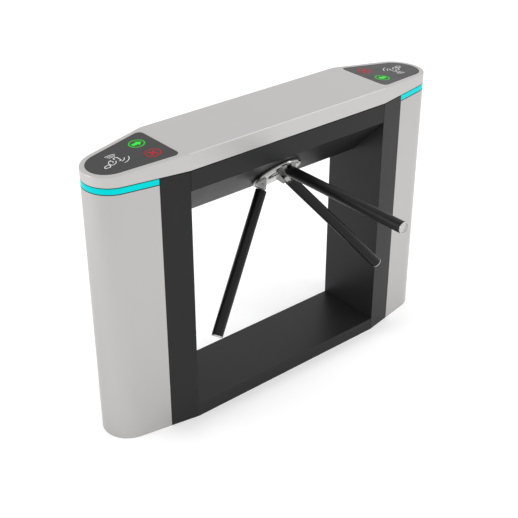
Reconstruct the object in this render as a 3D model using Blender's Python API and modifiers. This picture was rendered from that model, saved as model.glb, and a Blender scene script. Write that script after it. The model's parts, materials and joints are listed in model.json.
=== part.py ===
"""Bridge tripod turnstile for counting visitors: two pillars, a capped beam and a three-arm rotor.

Metres, +Z up, +X along the cabinet. The origin is on the floor under the middle of the cabinet. Visitors
walk along X past the -Y side, where the rotor stands out. "left" is the -X end and "right" the +X end.
"""

import math

import bmesh
import bpy
from mathutils import Matrix, Vector

# Fits
FIT = 0.0003  # between pieces that touch
SEAM = 0.0008  # visible joint line between cabinet panels
SLIDE = 0.0006  # a pushed part and what pushes it
CUT_REACH = 0.010  # how far a cutter runs past the wall it cuts

# Cabinet
LENGTH = 1.400
WIDTH = 0.260
HEIGHT = 0.980
END_LENGTH = 0.288  # from the tip of the nose back to the bend of the plan outline
NOSE_RADIUS = 0.092
SHELL_LENGTH = 0.188  # from the tip of the nose to the seam with the pillar frame
COVER_DEPTH = 0.058
TIP_DROP = 0.023  # the top falls this much from the bend to the tip of the nose
LIGHT_HEIGHT = 0.0205
BASE_HEIGHT = 0.048
SHEET = 0.002
LIGHT_WALL = 0.004
EDGE_ROUND = 0.0025
ARC_STEPS = 22

# Display panels in the cover and the readers below them
PANEL_MARGIN = 0.017
PANEL_CORNER = 0.018
PANEL_THICKNESS = 0.003
READER_SIZE = (0.110, 0.080, 0.018)
READER_FROM_TIP = 0.165  # to the reader's middle

# Beam
BEAM_FACE = 0.0665  # upright face under the cover
SLOPE_LENGTH = 0.2123
AXIS_TILT = math.radians(44.0)  # the rotor's axis, below the horizontal

# Floor fixing
FLOOR_PLATE = 0.006
RAIL_WIDTH = 0.100
RAIL_OVERHANG = 0.028  # of the rail past the window, into each pillar
DUCT_HEIGHT = 0.035  # opening in the pillar frame for the rail and the cables
DUCT_MARGIN = 0.010
BEAM_PORT = (0.110, 0.070)  # opening in the pillar frame for the beam's cables
ANCHOR_RADIUS = 0.006
ANCHOR_CLEARANCE = 0.001
ANCHOR_INSET = (0.078, 0.070)  # from the bend and from the middle line
ANCHOR_HEAD = (0.0095, 0.008)  # half the hexagon's width across corners, and its height
CABLE_HOLE_RADIUS = 0.025

# Rotor: distances along its axis are from the point where the arms' axes meet
APEX_DEPTH = 0.0404  # of that point behind the slope's face
SLOPE_TO_AXIS = 0.128  # down the slope, from its upper edge
DISC_GAP = 0.002
DISC_RADIUS = 0.090
DISC_THICKNESS = 0.010
DISC_CHAMFER = 0.003
CAP_RADIUS = 0.036
CAP_HEIGHT = 0.0058
ARM_PIVOT = 0.090
NECK_LENGTH = 0.015  # from the pivot to the start of the tube
ARM_REACH = 0.610
ARM_RADIUS = 0.019
ARM_WALL = 0.0015
ARM_CAP_LENGTH = 0.004
SPIGOT_LENGTH = 0.040
SPIGOT_STEP = 0.001  # the spigot starts this much before its tube
NECK_OVERLAP = 0.010  # of the flat neck into the round spigot
ARM_CAP_EDGE = 0.001
ARM_CAP_PLUG = 0.020  # of the cap inside the tube
LUG_WIDTH = 0.018
LUG_RADIUS = 0.0095
PIN_RADIUS = 0.004
PIN_INSET = 0.0036  # each end below the bracket's side
BRACKET_FOOT_WIDTH = 0.060
BRACKET_CROWN_WIDTH = 0.044
BRACKET_CAP_GAP = 0.004  # from the hub cap to the bracket's foot
BRACKET_RIM = 0.008  # of the disc left outside the bracket's foot
BRACKET_FLOOR = 0.0015
EAR_RADIUS = 0.013

# Mechanism
SHAFT_RADIUS = 0.010
SHAFT_SHOULDER = 0.0135
PLATE_STANDOFF = 0.003
PLATE_THICKNESS = 0.006
PLATE_MARGIN = (0.016, 0.0315)  # to the slope's lower and upper edges
PLATE_SIDE = 0.015  # of the plate past the cage, at each side
OPENING_MARGIN = 0.003  # round the bearing housing, in the slope
HOUSING_RADIUS = 0.030
HOUSING_NOSE = 0.008
HOUSING_LENGTH = 0.064
FLANGE_RADIUS = 0.040
FLANGE_THICKNESS = 0.008
BEARING_RADIUS = 0.021
BEARING_WIDTH = 0.012
SPACER_RADIUS = 0.016
GEAR_MODULE = 0.0025
GEAR_TEETH = 36
PINION_TEETH = 18
GEAR_WIDTH = 0.008
GEAR_BACKLASH = 0.0004
DEDENDUM = 1.25  # of the module
PRESSURE_ANGLE = math.radians(20.0)
GEAR_GAP = 0.004
MOTOR_RADIUS = 0.022
MOTOR_SHAFT_RADIUS = 0.004
WHEEL_RADIUS = 0.045
WHEEL_WIDTH = 0.008
NOTCHES = 12
NOTCH_WIDTH = 0.007
NOTCH_DEPTH = 0.006
NOTCH_CLEARANCE = 0.0018  # at each side of the pawl's tooth
PAWL_WIDTH = 0.0068
PAWL_LENGTH = 0.038
PAWL_BOSS = 0.007
PAWL_RISE = 0.0009  # of the tooth past the notch's middle, since it falls as the pawl turns in
PAWL_LIFT = 0.0008  # between the tooth and the wheel at rest
PAWL_SIDE = 0.011  # from the wheel's rim to the pawl's pivot
PAWL_BAR = (0.003, 0.004)  # inner and outer side of the bar, from the pivot
PAWL_PIN = 0.003
SOLENOID_SIZE = (0.044, 0.022, 0.020)
SOLENOID_GAP = 0.008  # from the pawl to the coil
SOLENOID_CLEARANCE = 0.002  # below the gears
PLUNGER_RADIUS = 0.003
PLUNGER_LENGTH = 0.034
CAGE_DEPTH = 0.090
CAGE_SIDE = 0.0054  # between a solenoid and the cage's side
CAGE_GAP = 0.004  # between the solenoids and the cage's floor
CAGE_HOLE_MARGIN = 0.0035  # round the shaft
ENCODER_RADIUS = 0.040
ENCODER_THICKNESS = 0.0012
ENCODER_SLOTS = 24
ENCODER_SLOT_DEPTH = 0.005
ENCODER_GAP = 0.008
SENSOR_SIZE = (0.020, 0.022, 0.018)
SENSOR_REACH = 0.007  # of the sensor's fork over the encoder's rim
SENSOR_CLEARANCE = 0.0012  # round the encoder in the fork
NUT_RADIUS = 0.016
NUT_WIDTH = 0.008
NUT_GAP = 0.006
SHAFT_OVERRUN = 0.004  # past the nut
POWER_SIZE = (0.160, 0.040)  # length and height
BOARD_SIZE = (0.170, 0.016)
BEAM_EDGE_GAP = 0.050  # from each end of the beam to what stands in it
BEAM_SIDE_GAP = 0.014  # from what stands in the beam to its slope and its back

# Meshing
MERGE = 0.00001
SHARP_ANGLE = math.radians(30.0)
CORNER_ANGLE = math.radians(60.0)  # edges turned more than this are rounded

# Worked out from the above
HALF_LENGTH = LENGTH / 2
HALF_WIDTH = WIDTH / 2
BEND = HALF_LENGTH - END_LENGTH
NOSE_X = HALF_LENGTH - NOSE_RADIUS
SHELL_X = HALF_LENGTH - SHELL_LENGTH
BEND_TO_NOSE = math.hypot(NOSE_X - BEND, HALF_WIDTH)
TAPER = math.atan2(HALF_WIDTH, NOSE_X - BEND) - math.asin(NOSE_RADIUS / BEND_TO_NOSE)
COVER_Z = HEIGHT - COVER_DEPTH
TOP_FALL = TIP_DROP / (HALF_LENGTH - BEND)
LIGHT_Z = COVER_Z - LIGHT_HEIGHT
COS_TILT = math.cos(AXIS_TILT)
SIN_TILT = math.sin(AXIS_TILT)
SLOPE_TOP = (-HALF_WIDTH, COVER_Z - BEAM_FACE)
SLOPE_FOOT = (SLOPE_TOP[0] + SLOPE_LENGTH * SIN_TILT, SLOPE_TOP[1] - SLOPE_LENGTH * COS_TILT)
APEX = (
    0.0,
    SLOPE_TOP[0] + SLOPE_TO_AXIS * SIN_TILT + APEX_DEPTH * COS_TILT,
    SLOPE_TOP[1] - SLOPE_TO_AXIS * COS_TILT + APEX_DEPTH * SIN_TILT,
)
DISC_Z = APEX_DEPTH + DISC_GAP
DISC_FACE = DISC_Z + DISC_THICKNESS
FOOT_Z = DISC_FACE + FIT
BRACKET_INNER = CAP_RADIUS + BRACKET_CAP_GAP
BRACKET_OUTER = DISC_RADIUS - BRACKET_RIM
PIVOT_R = ARM_PIVOT * SIN_TILT
PIVOT_Z = ARM_PIVOT * COS_TILT
PLATE_FRONT = APEX_DEPTH - SHEET - PLATE_STANDOFF
PLATE_BACK = PLATE_FRONT - PLATE_THICKNESS
PLATE_LOW = SLOPE_TO_AXIS - SLOPE_LENGTH + PLATE_MARGIN[0]
PLATE_HIGH = SLOPE_TO_AXIS - PLATE_MARGIN[1]
FLANGE_FRONT = PLATE_BACK - FIT
HOUSING_TOP = FLANGE_FRONT + HOUSING_NOSE
HOUSING_END = HOUSING_TOP - HOUSING_LENGTH
GEAR_TOP = HOUSING_END - GEAR_GAP
GEAR_END = GEAR_TOP - GEAR_WIDTH
GEAR_CENTRES = GEAR_MODULE * (GEAR_TEETH + PINION_TEETH) / 2
WHEEL_MIDDLE = GEAR_END - SOLENOID_CLEARANCE - SOLENOID_SIZE[2] / 2
WHEEL_TOP = WHEEL_MIDDLE + WHEEL_WIDTH / 2
WHEEL_END = WHEEL_MIDDLE - WHEEL_WIDTH / 2
CAGE_Z = WHEEL_MIDDLE - SOLENOID_SIZE[2] / 2 - CAGE_GAP
ENCODER_TOP = CAGE_Z - SHEET - ENCODER_GAP
ENCODER_END = ENCODER_TOP - ENCODER_THICKNESS
NUT_TOP = ENCODER_END - NUT_GAP
NUT_END = NUT_TOP - NUT_WIDTH
SHAFT_END = NUT_END - SHAFT_OVERRUN
PAWL_X = WHEEL_RADIUS + PAWL_SIDE
PAWL_TOOTH = NOTCH_WIDTH - 2 * NOTCH_CLEARANCE
PLUNGER_TIP = PAWL_X + PAWL_BAR[1] + SLIDE
CAGE_HALF = PLUNGER_TIP + SOLENOID_GAP + SOLENOID_SIZE[0] + CAGE_SIDE + SHEET
BEAM_FLOOR = (SLOPE_FOOT[0] + BEAM_SIDE_GAP, HALF_WIDTH - BEAM_SIDE_GAP)

# Sides: the sign of X for each end of the cabinet
SIDES = {"left": -1, "right": 1}
HALF_TURN = {"left": math.pi, "right": 0.0}
# A section drawn as (Y, Z) and pulled along X
ALONG_X = (math.pi / 2, 0.0, math.pi / 2)

COLOURS = {
    "brushed_steel": ((0.55, 0.54, 0.52), 0.38, 0.9),
    "dark_paint": ((0.035, 0.035, 0.036), 0.5, 0.1),
    "panel_glass": ((0.06, 0.06, 0.06), 0.25, 0.0),
    "light_blue": ((0.0, 0.8, 0.78), 0.4, 0.0),
    "chrome": ((0.75, 0.75, 0.74), 0.15, 1.0),
    "arm_black": ((0.012, 0.012, 0.012), 0.45, 0.0),
    "zinc": ((0.5, 0.5, 0.48), 0.45, 0.9),
    "machined_steel": ((0.35, 0.35, 0.36), 0.35, 0.9),
    "motor_grey": ((0.12, 0.12, 0.13), 0.5, 0.3),
    "board_green": ((0.02, 0.14, 0.05), 0.5, 0.0),
    "sensor_black": ((0.02, 0.02, 0.02), 0.6, 0.0),
}


# Scene


def clear_scene():
    """Removes what the scene holds, so that the file can be run again."""
    for obj in list(bpy.data.objects):
        bpy.data.objects.remove(obj)
    for group in list(bpy.data.collections):
        bpy.data.collections.remove(group)


def new_collection(name):
    group = bpy.data.collections.new(name)
    bpy.context.scene.collection.children.link(group)
    return group


def make_material(name, colour, roughness, metallic):
    """A Principled material in one colour."""
    made = bpy.data.materials.new(name)
    made.use_nodes = True
    shader = made.node_tree.nodes["Principled BSDF"]
    shader.inputs["Base Color"].default_value = (*colour, 1.0)
    shader.inputs["Roughness"].default_value = roughness
    shader.inputs["Metallic"].default_value = metallic
    return made


def add_object(name, data, finish, frame=None, location=(0, 0, 0), rotation=(0, 0, 0)):
    """Links an object in the turnstile's collection, with a material of its own."""
    obj = bpy.data.objects.new(name, data)
    parts.objects.link(obj)
    data.materials.clear()
    data.materials.append(make_material(name, *COLOURS[finish]))
    obj.parent = frame
    obj.location = location
    obj.rotation_euler = rotation
    return obj


def add_frame(name, location, rotation=(0, 0, 0), parent=None):
    """An empty that stands on a joint's axis."""
    empty = bpy.data.objects.new(name, None)
    empty.empty_display_size = 0.05
    parts.objects.link(empty)
    empty.parent = parent
    empty.location = location
    empty.rotation_euler = rotation
    return empty


def make_tool(obj):
    """Moves an object to the cutters, where it is drawn as a wire and not rendered."""
    parts.objects.unlink(obj)
    cutters.objects.link(obj)
    obj.hide_render = True
    obj.display_type = "WIRE"
    return obj


def combine(target, tool, operation="DIFFERENCE"):
    """Cuts the tool out of the target, or joins it on."""
    change = target.modifiers.new(operation.lower(), "BOOLEAN")
    change.operation = operation
    change.solver = "EXACT"
    change.object = make_tool(tool)
    return target


def smooth(mesh):
    mesh.shade_smooth()
    mesh.set_sharp_from_angle(angle=SHARP_ANGLE)


# Shapes


def box(name, low, high, finish, frame=None, location=(0, 0, 0), rotation=(0, 0, 0)):
    """A block between two corners."""
    size = [b - a for a, b in zip(low, high)]
    middle = [(a + b) / 2 for a, b in zip(low, high)]
    bm = bmesh.new()
    place = Matrix.Translation(middle) @ Matrix.Diagonal((*size, 1.0))
    bmesh.ops.create_cube(bm, size=1.0, matrix=place)
    mesh = bpy.data.meshes.new(name)
    bm.to_mesh(mesh)
    bm.free()
    return add_object(name, mesh, finish, frame, location, rotation)


def centred_box(name, size, middle, finish, frame=None):
    low = [m - s / 2 for m, s in zip(middle, size)]
    high = [m + s / 2 for m, s in zip(middle, size)]
    return box(name, low, high, finish, frame)


def rod(name, radius, start, end, finish, frame=None, location=(0, 0, 0), rotation=(0, 0, 0), steps=24):
    """A round bar along its own Z."""
    bm = bmesh.new()
    place = Matrix.Translation((0, 0, (start + end) / 2))
    sizes = {"segments": steps, "radius1": radius, "radius2": radius, "depth": abs(end - start)}
    bmesh.ops.create_cone(bm, cap_ends=True, matrix=place, **sizes)
    mesh = bpy.data.meshes.new(name)
    bm.to_mesh(mesh)
    bm.free()
    smooth(mesh)
    return add_object(name, mesh, finish, frame, location, rotation)


def turned(name, profile, finish, frame=None, location=(0, 0, 0), rotation=(0, 0, 0), steps=32):
    """A profile of (radius, height), down its outer side and up its bore, turned about its own Z."""
    bm = bmesh.new()
    points = [bm.verts.new((radius, 0, height)) for radius, height in profile]
    ring = points if profile[0][0] == 0 else [*points, points[0]]
    for first, second in zip(ring, ring[1:]):
        bm.edges.new((first, second))
    mesh = bpy.data.meshes.new(name)
    bm.to_mesh(mesh)
    bm.free()
    obj = add_object(name, mesh, finish, frame, location, rotation)
    screw = obj.modifiers.new("turn", "SCREW")
    screw.steps = steps
    screw.render_steps = steps
    screw.use_merge_vertices = True
    screw.merge_threshold = MERGE
    screw.use_smooth_shade = True
    return obj


def flat(name, outlines, start, end, finish, frame=None, location=(0, 0, 0), rotation=(0, 0, 0)):
    """A flat outline, with any holes after it, between two heights."""
    curve = bpy.data.curves.new(name, "CURVE")
    curve.dimensions = "2D"
    curve.fill_mode = "BOTH"
    curve.extrude = (end - start) / 2
    for outline in outlines:
        spline = curve.splines.new("POLY")
        spline.points.add(len(outline) - 1)
        spline.use_cyclic_u = True
        for point, (x, y) in zip(spline.points, outline):
            point.co = (x, y, 0, 1)
    drawn = bpy.data.objects.new(name + "_outline", curve)
    parts.objects.link(drawn)
    drawn.location = (0, 0, (start + end) / 2)
    graph = bpy.context.evaluated_depsgraph_get()
    graph.update()
    mesh = bpy.data.meshes.new_from_object(drawn.evaluated_get(graph))
    bm = bmesh.new()
    bm.from_mesh(mesh)
    bmesh.ops.translate(bm, verts=bm.verts, vec=drawn.location)
    bmesh.ops.remove_doubles(bm, verts=bm.verts, dist=MERGE)
    bmesh.ops.recalc_face_normals(bm, faces=bm.faces)
    bm.to_mesh(mesh)
    bm.free()
    bpy.data.objects.remove(drawn)
    mesh.name = name
    smooth(mesh)
    return add_object(name, mesh, finish, frame, location, rotation)


def folded(name, path, start, end, wall, finish, frame=None, location=(0, 0, 0), rotation=(0, 0, 0)):
    """A sheet folded along an open path and pulled between two heights, its wall on the path's right."""
    bm = bmesh.new()
    points = [bm.verts.new((x, y, start)) for x, y in path]
    edges = [bm.edges.new(pair) for pair in zip(points, points[1:])]
    pulled = bmesh.ops.extrude_edge_only(bm, edges=edges)["geom"]
    moved = [item for item in pulled if isinstance(item, bmesh.types.BMVert)]
    bmesh.ops.translate(bm, verts=moved, vec=(0, 0, end - start))
    mesh = bpy.data.meshes.new(name)
    bm.to_mesh(mesh)
    bm.free()
    smooth(mesh)
    obj = add_object(name, mesh, finish, frame, location, rotation)
    solidify = obj.modifiers.new("wall", "SOLIDIFY")
    solidify.thickness = wall
    solidify.offset = -1.0
    solidify.use_even_offset = True
    return obj


def circle(radius, middle=(0.0, 0.0), steps=32):
    turns = [2 * math.pi * i / steps for i in range(steps)]
    return [(middle[0] + radius * math.cos(t), middle[1] + radius * math.sin(t)) for t in turns]


def rectangle(low, high):
    return [(low[0], low[1]), (high[0], low[1]), (high[0], high[1]), (low[0], high[1])]


def arc(middle, radius, start, end, steps):
    turns = [start + (end - start) * i / steps for i in range(steps + 1)]
    return [(middle[0] + radius * math.cos(t), middle[1] + radius * math.sin(t)) for t in turns]


def rounded(before, corner, after, radius, steps=6):
    """An arc that rounds a corner, from the side of the point before it to that of the point after it."""
    corner = Vector(corner)
    back = (Vector(before) - corner).normalized()
    ahead = (Vector(after) - corner).normalized()
    half = back.angle(ahead) / 2
    middle = corner + (back + ahead).normalized() * radius / math.sin(half)
    first = corner + back * radius / math.tan(half) - middle
    last = corner + ahead * radius / math.tan(half) - middle
    sweep = first.angle_signed(last)
    start = math.atan2(first.y, first.x)
    return arc(middle, radius, start, start - sweep, steps)


# The cabinet's plan outline


def side_y(x, inset=0.0):
    """Half the cabinet's width at a distance x from its middle, inside a wall of this thickness."""
    if x <= BEND - inset * math.tan(TAPER / 2):
        return HALF_WIDTH - inset
    return HALF_WIDTH - inset / math.cos(TAPER) - (x - BEND) * math.tan(TAPER)


def nose(inset=0.0):
    """The round end at +X, from the +Y side to the -Y side."""
    quarter = math.pi / 2 - TAPER
    return arc((NOSE_X, 0.0), NOSE_RADIUS - inset, quarter, -quarter, ARC_STEPS)


def half_outline(start, inset=0.0):
    """The outline at +X from start round the nose and back, from +Y to -Y."""
    ends = [(start, side_y(start, inset)), (start, -side_y(start, inset))]
    return [ends[0], *nose(inset), ends[1]]


def lowered(x):
    """How far the cover's top has fallen at a distance x from the middle."""
    return TOP_FALL * max(0.0, abs(x) - BEND)


def lean(obj):
    """Shears a piece so that it follows the falling top."""
    for vertex in obj.data.vertices:
        vertex.co.z -= lowered(vertex.co.x)
    return obj


def panel_outline(grow=0.0):
    """The display panel at +X: the cabinet's outline inset by a margin, with a straight inner edge."""
    inset = PANEL_MARGIN - grow
    inner = BEND + inset
    far, near = (inner, side_y(inner, inset)), (inner, -side_y(inner, inset))
    round_end = nose(inset)
    radius = PANEL_CORNER + grow
    lower = rounded(round_end[-1], near, far, radius)
    upper = rounded(near, far, round_end[0], radius)
    return [*round_end, *lower, *upper]


# Floor fixing and base


def floor_rail():
    half = BEND + RAIL_OVERHANG
    low, high = (-half, -RAIL_WIDTH / 2, 0.0), (half, RAIL_WIDTH / 2, FLOOR_PLATE)
    return box("floor_rail", low, high, "zinc")


def anchor_places():
    """Where the bolts stand in the +X pillar."""
    x = BEND + ANCHOR_INSET[0]
    return {"front": (x, -ANCHOR_INSET[1]), "rear": (x, ANCHOR_INSET[1])}


def floor_plate(side):
    """The plate inside the pillar's foot, with its bolt holes and the opening for the supply cable."""
    outline = half_outline(BEND + RAIL_OVERHANG + FIT, SHEET + 2 * FIT)
    holes = [circle(ANCHOR_RADIUS + ANCHOR_CLEARANCE, place, 20) for place in anchor_places().values()]
    holes.append(circle(CABLE_HOLE_RADIUS, (NOSE_X, 0.0)))
    turn = (0, 0, HALF_TURN[side])
    return flat(f"floor_plate_{side}", [outline, *holes], 0.0, FLOOR_PLATE, "zinc", rotation=turn)


def anchor_bolt(side, end):
    """A bolt that ends at the floor, with its hexagon head on the plate."""
    x, y = anchor_places()[end]
    place = (SIDES[side] * x, y, 0.0)
    seat = FLOOR_PLATE + FIT
    name = f"anchor_bolt_{side}_{end}"
    bolt = rod(name, ANCHOR_RADIUS, FIT, seat + ANCHOR_HEAD[1] / 2, "zinc", location=place, steps=16)
    head = rod(name + "_head", ANCHOR_HEAD[0], seat, seat + ANCHOR_HEAD[1], "zinc", location=place, steps=6)
    return combine(bolt, head, "UNION")


def base_cover():
    """The trough upside down that bridges the pillars at the floor."""
    y = HALF_WIDTH
    path = [(-y, 0.0), (-y, BASE_HEIGHT), (y, BASE_HEIGHT), (y, 0.0)]
    half = BEND - SEAM
    return folded("base_cover", path, -half, half, SHEET, "dark_paint", rotation=ALONG_X)


# Pillars


def pillar_shell(side):
    """The bright sheet wrapped round the nose, from the floor to the light."""
    path = half_outline(SHELL_X + SEAM)
    turn = (0, 0, HALF_TURN[side])
    return folded(f"pillar_shell_{side}", path, 0.0, LIGHT_Z - SEAM, SHEET, "brushed_steel", rotation=turn)


def light_bar(side):
    """The lit strip between the shell and the cover."""
    path, top = half_outline(SHELL_X + SEAM), COVER_Z - SEAM
    turn = (0, 0, HALF_TURN[side])
    return folded(f"light_bar_{side}", path, LIGHT_Z, top, LIGHT_WALL, "light_blue", rotation=turn)


def pillar_frame(side):
    """The dark channel that faces the window, with openings for the rail and for the beam's cables."""
    bend_y, seam_y = side_y(BEND), side_y(SHELL_X)
    path = [(SHELL_X, -seam_y), (BEND, -bend_y), (BEND, bend_y), (SHELL_X, seam_y)]
    turn = (0, 0, HALF_TURN[side])
    name = f"pillar_frame_{side}"
    frame = folded(name, path, 0.0, COVER_Z - SEAM, SHEET, "dark_paint", rotation=turn)
    half = RAIL_WIDTH / 2 + DUCT_MARGIN
    near, far = BEND - CUT_REACH, BEND + CUT_REACH
    low, high = (near, -half, -CUT_REACH), (far, half, DUCT_HEIGHT)
    combine(frame, box(name + "_duct", low, high, "zinc", rotation=turn))
    width, height = BEAM_PORT
    middle = (COVER_Z + SLOPE_FOOT[1]) / 2
    low, high = (near, -width / 2, middle - height / 2), (far, width / 2, middle + height / 2)
    return combine(frame, box(name + "_port", low, high, "zinc", rotation=turn))


# Beam


def beam_housing():
    """The dark trough under the cover, with a sloped underside that the rotor's hub stands on."""
    y, top = HALF_WIDTH, COVER_Z - SEAM
    path = [(y, top), (y, SLOPE_FOOT[1]), SLOPE_FOOT, SLOPE_TOP, (-y, top)]
    half = BEND - SEAM
    beam = folded("beam_housing", path, -half, half, SHEET, "dark_paint", rotation=ALONG_X)
    start, end = PLATE_FRONT, APEX_DEPTH + CUT_REACH
    cutter = rod("beam_opening", HOUSING_RADIUS + OPENING_MARGIN, start, end, "zinc", rotor_frame, steps=32)
    return combine(beam, cutter)


def on_beam_floor(name, x, length, height, finish):
    """A block on the beam's floor, between the slope and the back."""
    z = SLOPE_FOOT[1] + SHEET + FIT
    low, high = (x - length / 2, BEAM_FLOOR[0], z), (x + length / 2, BEAM_FLOOR[1], z + height)
    return box(name, low, high, finish)


def power_supply():
    """The supply at the beam's +X end."""
    length, height = POWER_SIZE
    return on_beam_floor("power_supply", BEND - BEAM_EDGE_GAP - length / 2, length, height, "zinc")


def control_board():
    """The board that counts the passages, at the beam's -X end."""
    length, height = BOARD_SIZE
    return on_beam_floor("control_board", BEAM_EDGE_GAP + length / 2 - BEND, length, height, "board_green")


# Cover


def top_cover():
    """The bright lid: flat in the middle, falling from each bend to its nose, open below."""
    end = half_outline(BEND)
    bm = bmesh.new()
    around = end + [(-x, -y) for x, y in end]
    around.reverse()
    bm.faces.new([bm.verts.new((x, y, HEIGHT)) for x, y in around])
    for x in (-BEND, BEND):
        geometry = [*bm.verts, *bm.edges, *bm.faces]
        bmesh.ops.bisect_plane(bm, geom=geometry, dist=MERGE, plane_co=(x, 0, 0), plane_no=(1, 0, 0))
    rim = [edge for edge in bm.edges if edge.is_boundary]
    pulled = bmesh.ops.extrude_edge_only(bm, edges=rim)["geom"]
    skirt = {item for item in pulled if isinstance(item, bmesh.types.BMVert)}
    for vertex in bm.verts:
        vertex.co.z = COVER_Z if vertex in skirt else HEIGHT - lowered(vertex.co.x)
    bmesh.ops.recalc_face_normals(bm, faces=bm.faces)
    if sum(face.normal.z for face in bm.faces) < 0:
        bmesh.ops.reverse_faces(bm, faces=bm.faces)
    mesh = bpy.data.meshes.new("top_cover")
    bm.to_mesh(mesh)
    bm.free()
    smooth(mesh)
    cover = add_object("top_cover", mesh, "brushed_steel")
    edge_round = cover.modifiers.new("edge_round", "BEVEL")
    edge_round.width = EDGE_ROUND
    edge_round.segments = 2
    edge_round.limit_method = "ANGLE"
    edge_round.angle_limit = CORNER_ANGLE
    wall = cover.modifiers.new("wall", "SOLIDIFY")
    wall.thickness = SHEET
    wall.offset = -1.0
    wall.use_even_offset = True
    for side, turn in HALF_TURN.items():
        low, high = COVER_Z, HEIGHT + CUT_REACH
        hole = flat(f"panel_hole_{side}", [panel_outline(FIT)], low, high, "zinc", rotation=(0, 0, turn))
        combine(cover, hole)
    return cover


def display_panel(side):
    """The dark window with the passage signs, flush in the cover."""
    turn = (0, 0, HALF_TURN[side])
    name = f"display_panel_{side}"
    panel = flat(name, [panel_outline()], HEIGHT - PANEL_THICKNESS, HEIGHT, "panel_glass", rotation=turn)
    return lean(panel)


def card_reader(side):
    """The reader and the sign lamps below the display panel."""
    length, width, depth = READER_SIZE
    x = HALF_LENGTH - READER_FROM_TIP
    top = HEIGHT - PANEL_THICKNESS - FIT
    low, high = (x - length / 2, -width / 2, top - depth), (x + length / 2, width / 2, top)
    turn = (0, 0, HALF_TURN[side])
    return lean(box(f"card_reader_{side}", low, high, "sensor_black", rotation=turn))


# Rotor


def main_shaft():
    """The shaft from the hub back to the encoder, with a shoulder between the bearings."""
    above, below = HOUSING_TOP - BEARING_WIDTH - SLIDE, HOUSING_END + BEARING_WIDTH + SLIDE
    profile = [
        (0, DISC_FACE - FIT),
        (SHAFT_RADIUS, DISC_FACE - FIT),
        (SHAFT_RADIUS, above),
        (SHAFT_SHOULDER, above),
        (SHAFT_SHOULDER, below),
        (SHAFT_RADIUS, below),
        (SHAFT_RADIUS, SHAFT_END),
        (0, SHAFT_END),
    ]
    return turned("main_shaft", profile, "machined_steel", rotor_frame)


def hub_disc():
    """The bright disc in front of the slope."""
    bore = SHAFT_RADIUS + FIT
    profile = [
        (bore, DISC_FACE),
        (DISC_RADIUS - DISC_CHAMFER, DISC_FACE),
        (DISC_RADIUS, DISC_FACE - DISC_CHAMFER),
        (DISC_RADIUS, DISC_Z),
        (bore, DISC_Z),
    ]
    return turned("hub_disc", profile, "chrome", rotor_frame, steps=48)


def hub_cap():
    """The low dome over the end of the shaft."""
    quarter = arc((0, 0), 1.0, math.pi / 2, 0.0, 5)
    crown = [(CAP_RADIUS * across, FOOT_Z + CAP_HEIGHT * up) for across, up in quarter]
    crown[0] = (0, FOOT_Z + CAP_HEIGHT)
    return turned("hub_cap", [*crown, (0, FOOT_Z)], "chrome", rotor_frame)


def arm_turn(number):
    """How far an arm stands round the axis from the one that blocks the way."""
    return 2 * math.pi * (number - 1) / 3


def bracket_outline():
    """A foot on the disc and an ear round the pivot, as (distance from the axis, height)."""
    pivot = Vector((PIVOT_R, PIVOT_Z))
    outer, inner = Vector((BRACKET_OUTER, FOOT_Z)), Vector((BRACKET_INNER, FOOT_Z))

    def touch(point, sign):
        away = point - pivot
        return math.atan2(away.y, away.x) + sign * math.acos(EAR_RADIUS / away.length)

    start = touch(outer, 1)
    end = touch(inner, -1) % (2 * math.pi)
    return [tuple(inner), tuple(outer), *arc(pivot, EAR_RADIUS, start, end, 8)]


def arm_bracket(number):
    """A wedge with a slot for the arm's lug, wider at its foot than at its crown."""
    name = f"arm_bracket_{number}"
    turn = (math.pi / 2, 0, math.pi / 2 + arm_turn(number))
    half = BRACKET_FOOT_WIDTH / 2
    bracket = flat(name, [bracket_outline()], -half, half, "chrome", rotor_frame, rotation=turn)
    crown = PIVOT_Z + EAR_RADIUS
    for vertex in bracket.data.vertices:
        share = (vertex.co.y - FOOT_Z) / (crown - FOOT_Z)
        vertex.co.z *= 1 - share * (1 - BRACKET_CROWN_WIDTH / BRACKET_FOOT_WIDTH)
    gap = LUG_WIDTH / 2 + FIT
    low, high = (0, FOOT_Z + BRACKET_FLOOR, -gap), (DISC_RADIUS, crown + CUT_REACH, gap)
    combine(bracket, box(name + "_slot", low, high, "zinc", rotor_frame, rotation=turn))
    across = (0, math.pi / 2, 0)
    hole = rod(name + "_hole", PIN_RADIUS + FIT, -half, half, "zinc", arm_frame[number], rotation=across)
    return combine(bracket, hole)


def pivot_pin(number):
    """The pin across the bracket that the arm drops on."""
    share = (PIVOT_Z - FOOT_Z) / (PIVOT_Z + EAR_RADIUS - FOOT_Z)
    width = BRACKET_FOOT_WIDTH + share * (BRACKET_CROWN_WIDTH - BRACKET_FOOT_WIDTH)
    half = width / 2 - PIN_INSET
    turn = (0, math.pi / 2, 0)
    name = f"pivot_pin_{number}"
    return rod(name, PIN_RADIUS, -half, half, "machined_steel", arm_frame[number], rotation=turn)


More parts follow.
